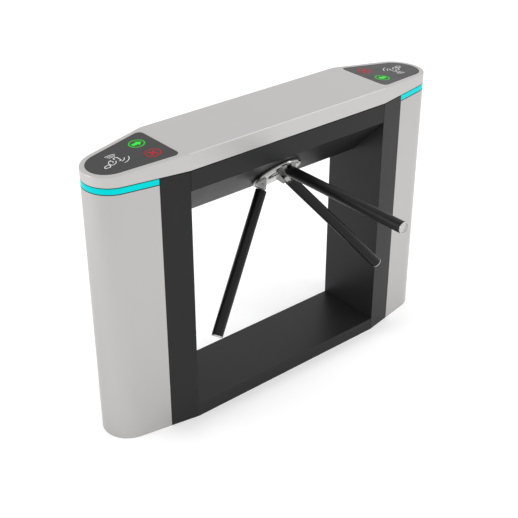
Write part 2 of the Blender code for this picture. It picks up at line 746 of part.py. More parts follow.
def arm_knuckle(number):
    """The eye on the pivot pin, its neck and the round spigot inside the arm's tube."""
    name = f"arm_knuckle_{number}"
    frame = arm_frame[number]
    half = LUG_WIDTH / 2
    shoulder = NECK_LENGTH - SPIGOT_STEP
    across = (0, math.pi / 2, 0)
    knuckle = rod(name, LUG_RADIUS, -half, half, "chrome", frame, rotation=across)
    low, high = (-half, -LUG_RADIUS, 0.0), (half, LUG_RADIUS, shoulder + NECK_OVERLAP)
    combine(knuckle, box(name + "_neck", low, high, "chrome", frame), "UNION")
    spigot = ARM_RADIUS - ARM_WALL - FIT
    end = shoulder + SPIGOT_LENGTH
    plug = rod(name + "_spigot", spigot, shoulder, end, "chrome", frame, steps=32)
    combine(knuckle, plug, "UNION")
    reach = half + CUT_REACH
    bore = rod(name + "_bore", PIN_RADIUS + FIT, -reach, reach, "chrome", frame, rotation=across)
    return combine(knuckle, bore)


def arm_tube(number):
    """The black tube that a visitor pushes."""
    bore = ARM_RADIUS - ARM_WALL
    start, end = NECK_LENGTH, ARM_REACH - ARM_CAP_LENGTH - ARM_PIVOT
    profile = [(bore, end), (ARM_RADIUS, end), (ARM_RADIUS, start), (bore, start)]
    return turned(f"arm_tube_{number}", profile, "arm_black", arm_frame[number])


def arm_cap(number):
    """The bright plug in the arm's end."""
    end = ARM_REACH - ARM_PIVOT
    seat = end - ARM_CAP_LENGTH + FIT
    plug = ARM_RADIUS - ARM_WALL - FIT
    depth = seat - ARM_CAP_PLUG
    head = [(0, end), (ARM_RADIUS - ARM_CAP_EDGE, end), (ARM_RADIUS, end - ARM_CAP_EDGE), (ARM_RADIUS, seat)]
    profile = [*head, (plug, seat), (plug, depth), (0, depth)]
    return turned(f"arm_cap_{number}", profile, "chrome", arm_frame[number])


# Mechanism


def mechanism_plate():
    """The plate behind the slope that carries the bearings and the motor."""
    half = CAGE_HALF + PLATE_SIDE
    outline = rectangle((-half, PLATE_LOW), (half, PLATE_HIGH))
    hole = circle(HOUSING_RADIUS + FIT)
    return flat("mechanism_plate", [outline, hole], PLATE_BACK, PLATE_FRONT, "zinc", rotor_frame)


def bearing_housing():
    """The flanged tube with a seat for a bearing at each end."""
    seat = BEARING_RADIUS + FIT
    upper, lower = HOUSING_TOP - BEARING_WIDTH - FIT, HOUSING_END + BEARING_WIDTH + FIT
    profile = [
        (seat, HOUSING_TOP),
        (HOUSING_RADIUS, HOUSING_TOP),
        (HOUSING_RADIUS, FLANGE_FRONT),
        (FLANGE_RADIUS, FLANGE_FRONT),
        (FLANGE_RADIUS, FLANGE_FRONT - FLANGE_THICKNESS),
        (HOUSING_RADIUS, FLANGE_FRONT - FLANGE_THICKNESS),
        (HOUSING_RADIUS, HOUSING_END),
        (seat, HOUSING_END),
        (seat, lower),
        (SPACER_RADIUS, lower),
        (SPACER_RADIUS, upper),
        (seat, upper),
    ]
    return turned("bearing_housing", profile, "motor_grey", rotor_frame)


def bearing(name, top):
    bore = SHAFT_RADIUS + FIT
    bottom = top - BEARING_WIDTH
    profile = [(bore, top), (BEARING_RADIUS, top), (BEARING_RADIUS, bottom), (bore, bottom)]
    return turned(name, profile, "machined_steel", rotor_frame)


def gear_outline(teeth):
    """Involute teeth with the first one centred on +X."""
    pitch = GEAR_MODULE * teeth / 2
    base = pitch * math.cos(PRESSURE_ANGLE)
    tip, root = pitch + GEAR_MODULE, pitch - DEDENDUM * GEAR_MODULE

    def involute(radius):
        angle = math.acos(min(1.0, base / radius))
        return math.tan(angle) - angle

    half = math.pi / (2 * teeth) - GEAR_BACKLASH / (2 * pitch) + involute(pitch)
    low = max(base, root)
    radii = [low + (tip - low) * i / 3 for i in range(4)]
    flank = [(radius, half - involute(radius)) for radius in radii]
    if root < low:
        flank.insert(0, (root, flank[0][1]))
    points = []
    for tooth in range(teeth):
        middle = 2 * math.pi * tooth / teeth
        around = [(r, middle - a) for r, a in flank] + [(r, middle + a) for r, a in reversed(flank)]
        points += [(r * math.cos(a), r * math.sin(a)) for r, a in around]
    return points


def notched_outline(radius, count, width, depth):
    """A disc with square notches, the first one centred on +X."""
    half = math.asin(width / 2 / radius)
    points = []
    for notch in range(count):
        middle = 2 * math.pi * notch / count
        step = 2 * math.pi / count - 2 * half
        bottom = math.hypot(radius * math.cos(half) - depth, width / 2)
        inner = math.atan2(width / 2, radius * math.cos(half) - depth)
        corners = [(bottom, middle - inner), (bottom, middle + inner)]
        corners += [(radius, middle + half + step * i / 3) for i in range(4)]
        points += [(r * math.cos(a), r * math.sin(a)) for r, a in corners]
    return points


def drive_gear():
    outlines = [gear_outline(GEAR_TEETH), circle(SHAFT_RADIUS + FIT)]
    return flat("drive_gear", outlines, GEAR_END, GEAR_TOP, "machined_steel", rotor_frame)


def gear_motor():
    """The motor on the plate's back, with its shaft through the pinion."""
    top = PLATE_BACK - FIT
    profile = [
        (0, top),
        (MOTOR_RADIUS, top),
        (MOTOR_RADIUS, HOUSING_END),
        (MOTOR_SHAFT_RADIUS, HOUSING_END),
        (MOTOR_SHAFT_RADIUS, GEAR_END),
        (0, GEAR_END),
    ]
    return turned("gear_motor", profile, "motor_grey", motor_frame)


def motor_pinion():
    """The pinion, turned half a tooth so that it meets the gear."""
    outlines = [gear_outline(PINION_TEETH), circle(MOTOR_SHAFT_RADIUS + FIT, steps=20)]
    half_tooth = (0, 0, math.pi / PINION_TEETH)
    span = GEAR_END, GEAR_TOP
    return flat("motor_pinion", outlines, *span, "machined_steel", motor_frame, rotation=half_tooth)


def lock_wheel():
    outline = notched_outline(WHEEL_RADIUS, NOTCHES, NOTCH_WIDTH, NOTCH_DEPTH)
    hole = circle(SHAFT_RADIUS + FIT)
    return flat("lock_wheel", [outline, hole], WHEEL_END, WHEEL_TOP, "machined_steel", rotor_frame)


def encoder_disc():
    """The slotted disc that the counting sensor reads."""
    width = math.pi * ENCODER_RADIUS / ENCODER_SLOTS
    outline = notched_outline(ENCODER_RADIUS, ENCODER_SLOTS, width, ENCODER_SLOT_DEPTH)
    hole = circle(SHAFT_RADIUS + FIT)
    return flat("encoder_disc", [outline, hole], ENCODER_END, ENCODER_TOP, "sensor_black", rotor_frame)


def shaft_nut():
    outlines = [circle(NUT_RADIUS, steps=6), circle(SHAFT_RADIUS + FIT)]
    return flat("shaft_nut", outlines, NUT_END, NUT_TOP, "zinc", rotor_frame)


def mechanism_cage():
    """The bent bracket behind the plate, with a pin for each pawl."""
    half, top = CAGE_HALF, PLATE_BACK - FIT
    path = [(half, top), (half, CAGE_Z - SHEET), (-half, CAGE_Z - SHEET), (-half, top)]
    turn = (math.pi / 2, 0, 0)
    depth = CAGE_DEPTH / 2
    cage = folded("mechanism_cage", path, -depth, depth, SHEET, "zinc", rotor_frame, rotation=turn)
    hole_radius = SHAFT_RADIUS + CAGE_HOLE_MARGIN
    hole = rod("cage_hole", hole_radius, CAGE_Z - CUT_REACH, CAGE_Z + CUT_REACH, "zinc", rotor_frame)
    combine(cage, hole)
    start, end = CAGE_Z - SHEET / 2, WHEEL_TOP + SLIDE
    for side, frame in pawl_frame.items():
        pin = rod(f"pawl_pin_{side}", PAWL_PIN, start, end, "zinc", frame, steps=16)
        combine(cage, pin, "UNION")
    return cage


def lock_pawl(side):
    """A bar on its pin, with a tooth that stands clear of the wheel at rest."""
    sign = SIDES[side]
    inner, outer = PAWL_BAR
    tip = PAWL_X - WHEEL_RADIUS - PAWL_LIFT
    middle = PAWL_LENGTH + PAWL_RISE
    low, high = middle - PAWL_TOOTH / 2, middle + PAWL_TOOTH / 2
    start, end = math.asin(outer / PAWL_BOSS), math.asin(inner / PAWL_BOSS)
    quarter = math.pi / 2
    boss = arc((0, 0), PAWL_BOSS, quarter + end, 2 * math.pi + quarter - start, 14)
    outline = [*boss, (outer, high), (-tip, high), (-tip, low), (-inner, low)]
    hole = circle(PAWL_PIN + FIT, steps=20)
    outlines = [[(sign * x, y) for x, y in points] for points in (outline, hole)]
    start, end = WHEEL_MIDDLE - PAWL_WIDTH / 2, WHEEL_MIDDLE + PAWL_WIDTH / 2
    return flat(f"lock_pawl_{side}", outlines, start, end, "machined_steel", pawl_frame[side])


def lock_solenoid(side):
    """The coil that pushes a pawl into the wheel, with a bore for its plunger."""
    sign = SIDES[side]
    near = PLUNGER_TIP + SOLENOID_GAP
    middle = (sign * (near + SOLENOID_SIZE[0] / 2), 0.0, WHEEL_MIDDLE)
    name = f"lock_solenoid_{side}"
    coil = centred_box(name, SOLENOID_SIZE, middle, "motor_grey", rotor_frame)
    along = (0, sign * math.pi / 2, 0)
    span, place = (near - CUT_REACH, near + PLUNGER_LENGTH), (0, 0, WHEEL_MIDDLE)
    bore = rod(name + "_bore", PLUNGER_RADIUS + FIT, *span, "zinc", rotor_frame, place, along, steps=20)
    return combine(coil, bore)


def lock_plunger(side):
    """The solenoid's plunger, just clear of its pawl."""
    along = (0, SIDES[side] * math.pi / 2, 0)
    start, end = PLUNGER_TIP, PLUNGER_TIP + PLUNGER_LENGTH
    place = (0, 0, WHEEL_MIDDLE)
    name = f"lock_plunger_{side}"
    return rod(name, PLUNGER_RADIUS, start, end, "machined_steel", rotor_frame, place, along, steps=20)


def count_sensor():
    """The fork that reads the encoder, so that each turn of the rotor is counted."""
    width, depth, height = SENSOR_SIZE
    near = ENCODER_RADIUS - SENSOR_REACH
    top = CAGE_Z - SHEET - FIT
    low, high = (-width / 2, near, top - height), (width / 2, near + depth, top)
    fork = box("count_sensor", low, high, "sensor_black", rotor_frame)
    gap = SENSOR_CLEARANCE
    low = (-width, near - CUT_REACH, ENCODER_END - gap)
    high = (width, ENCODER_RADIUS + gap, ENCODER_TOP + gap)
    return combine(fork, box("sensor_slot", low, high, "zinc", rotor_frame))


clear_scene()
parts = new_collection("visitor_counter_turnstile")
cutters = new_collection("cutters")

rotor_frame = add_frame("rotor_frame", APEX, (math.pi / 2 + AXIS_TILT, 0, 0))
motor_frame = add_frame("motor_frame", (GEAR_CENTRES, 0, 0), parent=rotor_frame)
pawl_frame = {
    side: add_frame(f"pawl_frame_{side}", (sign * PAWL_X, -PAWL_LENGTH, 0), parent=rotor_frame)
    for side, sign in SIDES.items()
}
arm_frame = {}
for arm in (1, 2, 3):
    around = arm_turn(arm)
    pivot = (-PIVOT_R * math.sin(around), PIVOT_R * math.cos(around), PIVOT_Z)
    arm_frame[arm] = add_frame(f"arm_frame_{arm}", pivot, (-AXIS_TILT, 0, around), rotor_frame)

floor_rail()
base_cover()
beam_housing()
power_supply()
control_board()
top_cover()
for side in SIDES:
    floor_plate(side)
    anchor_bolt(side, "front")
    anchor_bolt(side, "rear")
    pillar_shell(side)
    light_bar(side)
    pillar_frame(side)
    display_panel(side)
    card_reader(side)
    lock_pawl(side)
    lock_solenoid(side)
    lock_plunger(side)

mechanism_plate()
mechanism_cage()
bearing_housing()
bearing("front_bearing", HOUSING_TOP - FIT)
bearing("rear_bearing", HOUSING_END + BEARING_WIDTH + FIT)
gear_motor()
motor_pinion()
count_sensor()

main_shaft()
hub_disc()
hub_cap()
drive_gear()
lock_wheel()
encoder_disc()
shaft_nut()
for arm in arm_frame:
    arm_bracket(arm)
    pivot_pin(arm)
    arm_knuckle(arm)
    arm_tube(arm)
    arm_cap(arm)
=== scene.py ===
"""Finished surfaces, materials and studio of a bridge tripod turnstile that counts visitors.

Metres, +Z up, +X along the cabinet, visitors pass on the -Y side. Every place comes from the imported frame.
"""

import json
from math import atan, cos, pi, radians, sin, tan

import bmesh
import bpy
import numpy as np
from bpy.props import FloatProperty, FloatVectorProperty, IntProperty, PointerProperty
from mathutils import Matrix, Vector

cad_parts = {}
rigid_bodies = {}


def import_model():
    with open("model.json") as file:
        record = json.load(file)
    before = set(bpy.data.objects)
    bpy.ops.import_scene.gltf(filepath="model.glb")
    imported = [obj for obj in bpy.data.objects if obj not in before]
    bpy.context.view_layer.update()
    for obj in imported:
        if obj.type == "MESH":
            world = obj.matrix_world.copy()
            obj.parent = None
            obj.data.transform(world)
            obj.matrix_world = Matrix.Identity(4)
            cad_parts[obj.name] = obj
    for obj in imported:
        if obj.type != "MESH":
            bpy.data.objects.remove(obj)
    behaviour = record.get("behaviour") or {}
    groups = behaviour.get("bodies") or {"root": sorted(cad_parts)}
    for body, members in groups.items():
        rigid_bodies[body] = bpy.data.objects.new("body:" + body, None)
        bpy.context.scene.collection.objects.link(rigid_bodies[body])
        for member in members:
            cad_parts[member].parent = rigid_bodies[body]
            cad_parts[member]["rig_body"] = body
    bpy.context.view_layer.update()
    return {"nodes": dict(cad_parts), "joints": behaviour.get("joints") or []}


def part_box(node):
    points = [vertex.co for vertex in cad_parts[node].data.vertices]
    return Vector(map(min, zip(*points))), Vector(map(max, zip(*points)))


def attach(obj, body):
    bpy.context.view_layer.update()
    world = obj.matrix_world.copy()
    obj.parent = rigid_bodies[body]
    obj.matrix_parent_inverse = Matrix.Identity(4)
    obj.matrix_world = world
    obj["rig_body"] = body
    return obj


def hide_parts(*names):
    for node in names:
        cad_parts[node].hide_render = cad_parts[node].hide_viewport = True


bl_info = {
    "name": "Counting turnstile",
    "version": (1, 0, 0),
    "blender": (4, 5, 0),
    "location": "3D View > Sidebar > Turnstile",
    "description": "Makes the finished surfaces of a tripod turnstile round its packed frame",
    "category": "Object",
}

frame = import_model()

MERGE = 1e-6
SIDES = {"left": -1.0, "right": 1.0}
ARMS = (1, 2, 3)


# Numbers read from the frame


def span(node):
    """The lowest and the highest corner of a CAD node, as two rows."""
    return np.array([list(corner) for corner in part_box(node)])


def node_points(node):
    """Every vertex of a CAD node, as rows."""
    mesh = frame["nodes"][node].data
    flat = np.empty(len(mesh.vertices) * 3)
    mesh.vertices.foreach_get("co", flat)
    return flat.reshape(-1, 3)


def joint_line(name):
    """A point on a joint's axis and the axis's direction."""
    joint = next(each for each in frame["joints"] if each["name"] == name)
    return np.array(joint["pos_m"], float), np.array(joint["axis"], float)


def unit(vector):
    """The vector at length one."""
    vector = np.asarray(vector, float)
    return vector / np.linalg.norm(vector)


def axes(origin, up, across):
    """A 4 x 4 place whose Z is up and whose X is across, made square to Z; Y is Z x X."""
    z = unit(up)
    x = unit(np.asarray(across, float) - z * (z @ across))
    made = np.eye(4)
    made[:3, 0], made[:3, 1], made[:3, 2], made[:3, 3] = x, np.cross(z, x), z, origin
    return made


def placed(points, place):
    """The points carried by a 4 x 4 place: its rotation times the point, plus its origin."""
    return points @ place[:3, :3].T + place[:3, 3]


def round_points(node, place):
    """A node's points seen from a place: their heights along its Z and their distances from its Z."""
    local = (node_points(node) - place[:3, 3]) @ place[:3, :3]
    return local[:, 2], np.hypot(local[:, 0], local[:, 1])


def extent(node, place):
    """A node's lowest and highest level along a place's Z, and its greatest distance from that Z."""
    level, away = round_points(node, place)
    return level.min(), level.max(), away.max()


def bore_of(node, place):
    """The radius of the hole along a place's Z through a node: the least distance of its points from Z."""
    return round_points(node, place)[1].min()


HALF_LENGTH, HALF_WIDTH, TOP = span("top_cover")[1]
COVER_Z = span("top_cover")[0][2]
BEND = span("pillar_frame_right")[0][0]
SHELL = span("pillar_shell_right")
LIGHT = span("light_bar_right")
PANEL = span("display_panel_right")

# The next four repeat the CAD's own values, which the frame doesn't give by name

BAR_WALL = 0.004  # thickness of the light strips
SHELL_WALL = 0.002  # thickness of the shells' sheet
PANEL_CORNER = 0.018  # radius of the windows' two corners
PANEL_DEPTH = 0.003  # thickness of the windows

TAPER = atan((HALF_WIDTH - SHELL[1][1]) / (SHELL[0][0] - BEND))
for _ in range(3):  # the shell's box starts at its inner wall, so its outer start is worked out in turns
    SHELL_START = SHELL[0][0] + SHELL_WALL * sin(TAPER)
    TAPER = atan((HALF_WIDTH - SHELL[1][1]) / (SHELL_START - BEND))
NOSE_RADIUS = (HALF_WIDTH * cos(TAPER) - (HALF_LENGTH - BEND) * sin(TAPER)) / (1 - sin(TAPER))
NOSE_X = HALF_LENGTH - NOSE_RADIUS
PANEL_MARGIN = PANEL[0][0] - BEND
FALL = (TOP - PANEL[1][2]) / PANEL_MARGIN
WINDOW_MIDDLE = np.array((NOSE_X - 0.05, 0.0))  # a point inside the window that its outline is seen from

APEX, AXIS = joint_line("rotor_spin")
ROTOR = axes(APEX, AXIS, (1, 0, 0))

# Small fits and eased edges

FLAT_START = 0.0005  # of the lid's flat top, inside its edge's round
WINDOW_GAP = 0.0003  # between a window and its opening
PRINT_ROOT = 0.0001  # of a printed sign below the window's face
ARROW_REACH = 0.0162  # half the arrow's length
CROSS_REACH = 0.0160  # half the length of the cross's bars
CROSS_BAR = 0.0027  # half their width
PLUG_GAP = 0.0003  # between a plug and its tube
SMOOTH_EASE = 0.0006  # eased edges of turned and pressed pieces
SHEET_EASE = 0.0004  # eased edges of sheet metal and bolts
FINE_EASE = 0.0003  # eased edges of ground steel and of the lid's lip
TOOTH_EASE = 0.0002  # eased edges of teeth

# Studio

FLOOR_REACH = 14.0
SKY = 1.05
CAMERA_PLACE = (-2.0956, -2.4598, 2.3006)
CAMERA_TILT = 0.52997  # below level
CAMERA_TURN = -0.69663
CAMERA_LENS = 74.05
CAMERA_SENSOR = 36.0


def arm_axes(number):
    """An arm's place: its origin on the pivot pin, Z along the tube and X along the pin."""
    pivot, across = joint_line(f"arm_drop_{number}")
    return axes(pivot, span(f"arm_tube_{number}").mean(0) - pivot, across)


# Sizes and colours that a user would change


def length(name, description, value, **more):
    """A length property in metres."""
    more.setdefault("min", 0.0)
    return FloatProperty(
        name=name, description=description, default=value, unit="LENGTH", precision=4, **more
    )


def colour(name, description, value):
    """A colour property."""
    return FloatVectorProperty(
        name=name, description=description, default=value, subtype="COLOR", size=3, min=0, max=1
    )


class TurnstileSizes(bpy.types.PropertyGroup):
    """Sizes of the finished surfaces."""

    edge_round: length("Lid edge", "Radius of the lid's upper edge", 0.0025)
    bend_round: length("Bend", "Radius of the lid's upright bends", 0.010)
    fold_width: length("Fold", "Half the width of the soft fold across the lid's top", 0.003)
    lid_wall: length("Lid sheet", "Thickness of the lid's sheet", 0.002)
    sheet_gap: length("Grid", "Distance between points along the plan outline", 0.004, min=0.001)
    light_round: length("Light edge", "Radius of the light strip's outer edges", 0.0015)
    ring_radius: length("Sign ring", "Middle radius of the rings round the signs", 0.0240)
    ring_width: length("Sign line", "Width of the rings", 0.0040)
    sign_height: length("Sign height", "How far the printed signs stand up", 0.00025)
    sign_side: length("Sign place", "Distance of the rings from the lid's middle line", 0.043)
    sign_from_tip: length("Sign from tip", "Distance of the rings from the nose's tip", 0.216)
    card_from_tip: length("Card from tip", "Distance of the card sign from the nose's tip", 0.114)
    cast_round: length("Casting edge", "Radius of the cast brackets' edges", 0.0014)
    paint_round: length("Folded edge", "Radius of the painted sheets' folded edges", 0.0010)
    tube_round: length("Tube edge", "Radius of the arm tubes' ends", 0.0006)
    plug_depth: length("Plug hollow", "Depth of the hollow in the arms' end plugs", 0.0055)
    # Painted shadow: the next two heights size the black strips that stand for the shadow lines under the
    # lid and under the light strips.
    seal_height: length("Seal", "Height of the black seal that shows under the lid", 0.0024)
    light_shadow_height: length("Light seal", "Height of the black seal under the light strip", 0.0014)
    turn_steps: IntProperty(
        name="Turned steps", description="Sides of a turned piece", default=96, min=16, max=256
    )


class TurnstileColours(bpy.types.PropertyGroup):
    """Colours of the finishes."""

    steel: colour("Satin steel", "Brushed stainless sheet", (0.505, 0.493, 0.482))
    dark: colour("Dark coat", "Powder coat of the frame and beam", (0.0095, 0.0095, 0.0098))
    light: colour("Light", "The lit strip under the lid", (0.0, 0.40, 0.40))
    window: colour("Window", "The windows in the lid", (0.020, 0.020, 0.020))
    go: colour("Go sign", "The arrow and its ring", (0.012, 0.50, 0.018))
    stop: colour("Stop sign", "The cross and its ring", (0.40, 0.004, 0.012))
    print: colour("Print", "The card sign", (0.80, 0.80, 0.80))
    casting: colour("Casting", "The polished hub", (0.36, 0.36, 0.352))
    arm: colour("Arm", "Satin coat of the arms", (0.0035, 0.0035, 0.0036))
    plug: colour("Plug", "The plugs in the arms' ends", (0.50, 0.50, 0.49))


# Meshes


def sheet(points, wrap=False, caps=False):
    """A grid of points and its quads: cell (i, j) joins (i, j), (i, j+1), (i+1, j+1) and (i+1, j)."""
    rows, cols = points.shape[:2]
    i, j = np.meshgrid(np.arange(rows - 1), np.arange(cols if wrap else cols - 1), indexing="ij")
    right = (j + 1) % cols
    corners = (i * cols + j, i * cols + right, (i + 1) * cols + right, (i + 1) * cols + j)
    faces = np.stack(corners, -1).reshape(-1, 4).tolist()
    if caps:
        faces += [list(range(cols))[::-1], list(range((rows - 1) * cols, rows * cols))]
    return points.reshape(-1, 3), faces


def made(name, sheets, coat, body, stands_for=()):
    """One piece from several sheets: their points joined, doubles merged and faces turned outwards."""
    faces, start = [], 0
    for points, quads in sheets:
        faces += [[corner + start for corner in face] for face in quads]
        start += len(points)
    mesh = bpy.data.meshes.new(name)
    mesh.from_pydata(np.concatenate([points for points, _ in sheets]).tolist(), [], faces)
    mend(mesh)
    shown(name, mesh, coat, body, stands_for)


def mend(mesh, flat=None):
    """Merges doubles, joins faces that are flat to each other within an angle where one is given, and
    turns the faces outwards."""
    bm = bmesh.new()
    bm.from_mesh(mesh)
    bmesh.ops.remove_doubles(bm, verts=bm.verts, dist=MERGE if flat is None else 10 * MERGE)
    bmesh.ops.dissolve_degenerate(bm, edges=bm.edges, dist=MERGE)
    if flat is not None:
        bmesh.ops.dissolve_limit(bm, angle_limit=flat, verts=bm.verts, edges=bm.edges)
    bmesh.ops.recalc_face_normals(bm, faces=bm.faces)
    if bm.calc_volume(signed=True) < 0:
        bmesh.ops.reverse_faces(bm, faces=bm.faces)
    bm.to_mesh(mesh)
    bm.free()


def shown(name, mesh, coat, body, stands_for=(), sharp=35.0):
    """Puts a mesh in the scene as a piece with a finish, which rides on a body and stands for CAD nodes."""
    paint, slot = finish(coat)
    mesh.polygons.foreach_set("use_smooth", np.ones(len(mesh.polygons), bool))
    mesh.set_sharp_from_angle(angle=radians(sharp))
    obj = bpy.data.objects.new(name, mesh)
    bpy.context.scene.collection.objects.link(obj)
    mesh.materials.append(paint)
    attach(obj, body)
    if stands_for:
        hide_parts(*stands_for)
    return obj


def softened(node, coat, width=SHEET_EASE, segments=2):
    """A copy of a CAD node, its triangles merged into whole faces and its edges rounded with a Bevel."""
    mesh = frame["nodes"][node].data.copy()
    mesh.materials.clear()
    mend(mesh, flat=radians(0.5))
    body = frame["nodes"][node]["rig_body"]
    sharp = 30.0
    piece = shown(f"{node}_finished", mesh, coat, body, [node], sharp)
    bevel = piece.modifiers.new("eased_edge", "BEVEL")
    bevel.width = width
    bevel.segments = segments
    bevel.limit_method = "ANGLE"
    bevel.angle_limit = radians(sharp)
    bevel.harden_normals = True


# Outlines, as rows of (x, y)


def spaced(start, end, gap):
    """Numbers from start up to end, about a gap apart, both ends kept."""
    return np.linspace(start, end, max(2, int(np.ceil(abs(end - start) / gap)) + 1))


def round_arc(middle, radius, start, end, steps):
    """Places middle + radius (cos a, sin a) and directions (cos a, sin a), for a from start to end."""
    turn = np.linspace(start, end, steps)
    away = np.stack((np.cos(turn), np.sin(turn)), -1)
    return np.asarray(middle) + radius * away, away


def side_y(x, inset=0.0):
    """Half the plan's width on the tapered side: the wall's line moved in by the inset."""
    return HALF_WIDTH - inset / cos(TAPER) - (x - BEND) * tan(TAPER)


def end_path(start, bend_round, gap):
    """The plan outline at +X from (start, +Y) round the nose to (start, -Y), as places and outward
    directions: a straight side, a round at the bend, the tapered side and the nose's circle, then
    the same mirrored in Y."""
    run = bend_round * tan(TAPER / 2)
    slant = np.array((sin(TAPER), cos(TAPER)))
    places, outward = [], []
    if start < BEND - run:
        x = np.concatenate((spaced(start, BEND - 0.006, 2 * gap), BEND - np.array((0.004, 0.003, 0.002))))
        places.append(np.stack((x, np.full(len(x), HALF_WIDTH)), -1))
        outward.append(np.tile((0.0, 1.0), (len(x), 1)))
        middle = (BEND - run, HALF_WIDTH - bend_round)
        arc, away = round_arc(middle, bend_round, pi / 2, pi / 2 - TAPER, 5)
        places.append(arc)
        outward.append(away)
        start = BEND + 0.002
        fine = start + np.array((0.0, 0.001, 0.002, 0.004))
    else:
        fine = start + np.array((0.0, 0.0005, 0.001))
    x = np.concatenate((fine, spaced(fine[-1] + gap, NOSE_X + NOSE_RADIUS * sin(TAPER), gap)[:-1]))
    places.append(np.stack((x, side_y(x)), -1))
    outward.append(np.tile(slant, (len(x), 1)))
    steps = 2 * int(NOSE_RADIUS * (pi / 2 - TAPER) / gap) + 3
    arc, away = round_arc((NOSE_X, 0.0), NOSE_RADIUS, pi / 2 - TAPER, 0.0, steps)
    places.append(arc)
    outward.append(away)
    places, outward = np.concatenate(places), np.concatenate(outward)
    mirror = np.array((1.0, -1.0))
    return (
        np.concatenate((places, places[-2::-1] * mirror)),
        np.concatenate((outward, outward[-2::-1] * mirror)),
    )


def window_outline(grow, gap=0.001):
    """The display window at +X: the plan outline moved in by the margin, with a straight inner edge and
    two round corners, made larger all round by grow and sampled evenly along its length."""
    inset = PANEL_MARGIN - grow
    radius = PANEL_CORNER + grow
    x = BEND + inset + radius
    y = side_y(x, inset) - radius / cos(TAPER)
    quarter = pi / 2 - TAPER
    upper, _ = round_arc((x, y), radius, pi, quarter, 16)
    nose, _ = round_arc((NOSE_X, 0.0), NOSE_RADIUS - inset, quarter, -quarter, 90)
    lower, _ = round_arc((x, -y), radius, -quarter, -pi, 16)
    loop = np.concatenate((upper, nose, lower, upper[:1]))
    run = np.concatenate(([0.0], np.cumsum(np.hypot(*np.diff(loop, axis=0).T))))
    even = spaced(0.0, run[-1], gap)[:-1]
    return np.stack((np.interp(even, run, loop[:, 0]), np.interp(even, run, loop[:, 1])), -1)


def polar(points, middle, angles):
    """The distance from middle to a loop of points in each of the directions given, by angle."""
    away = points - middle
    turn = np.arctan2(away[:, 1], away[:, 0])
    return np.interp(angles, turn, np.hypot(*away.T), period=2 * pi)


def soft_fall(x, fold):
    """How far the top has fallen: nothing inside the bend, the slope times the run outside it, and the
    parabola (u + w)^2 / 4w between, within w of the bend."""
    run = np.abs(x) - BEND
    return FALL * np.where(np.abs(run) < fold, (run + fold) ** 2 / (4 * fold), np.maximum(run, 0.0))


def swept(places, outward, section, turn=1.0):
    """A closed section (inset, height) carried along a plan path: each point is the path's place less
    inset times its outward direction, at that height. turn is -1 for the half turn to the other end."""
    flat = places[:, None] - section[None, :, :1] * outward[:, None]
    high = np.broadcast_to(section[:, 1], flat.shape[:2])
    return np.concatenate((flat * turn, high[..., None]), -1)


def turned(profile, place, steps):
    """A profile (radius, height) turned round a place's Z: (r cos a, r sin a, h)."""
    turn = np.linspace(0, 2 * pi, steps, endpoint=False)
    radius, height = np.asarray(profile, float).T
    ring = np.stack((np.outer(radius, np.cos(turn)), np.outer(radius, np.sin(turn))), -1)
    local = np.concatenate((ring, np.broadcast_to(height[:, None, None], (*ring.shape[:2], 1))), -1)
    return sheet(placed(local, place), wrap=True)


def eased(points, radius, steps=4):
    """An open line with its inner corners rounded: each corner V becomes the curve
    (1-s)^2 A + 2 s (1-s) V + s^2 B, from A before it to B after it, at the given distance or less."""
    points = np.asarray(points, float)
    size = np.broadcast_to(np.asarray(radius, float), (len(points),)).copy()
    size[[0, -1]] = 0.0
    back, ahead = np.roll(points, 1, 0) - points, np.roll(points, -1, 0) - points
    back_run, ahead_run = np.hypot(*back.T) + 1e-12, np.hypot(*ahead.T) + 1e-12
    size = np.minimum(size, 0.45 * np.minimum(back_run, ahead_run))
    a = points + back * (size / back_run)[:, None]
    b = points + ahead * (size / ahead_run)[:, None]
    s = np.linspace(0, 1, steps)[None, :, None]
    curve = (1 - s) ** 2 * a[:, None] + 2 * s * (1 - s) * points[:, None] + s**2 * b[:, None]
    return curve.reshape(-1, 2)


# Materials


class Wire:
    """A value that runs through a material. Arithmetic on it adds Math nodes."""

    def __init__(self, paint, socket):
        self.paint, self.socket = paint, socket

    def math(self, operation, first, second=0.0, clamp=False):
        """One Math node on two numbers or wires."""
        settings = {"operation": operation, "use_clamp": clamp}
        return self.paint.node("ShaderNodeMath", settings, {0: first, 1: second})

    def __add__(self, other):
        return self.math("ADD", self, other)

    def __mul__(self, other):
        return self.math("MULTIPLY", self, other)

    def __gt__(self, other):
        return self.math("GREATER_THAN", self, other)

    def __lt__(self, other):
        return self.math("LESS_THAN", self, other)

    __radd__ = __add__
    __rmul__ = __mul__

    def clamped(self):
        """The value kept between 0 and 1."""
        return self.math("ADD", self, 0.0, clamp=True)

    def wrapped(self, period):
        """The distance to the nearest whole number of periods."""
        return self.math("PINGPONG", self, period / 2)


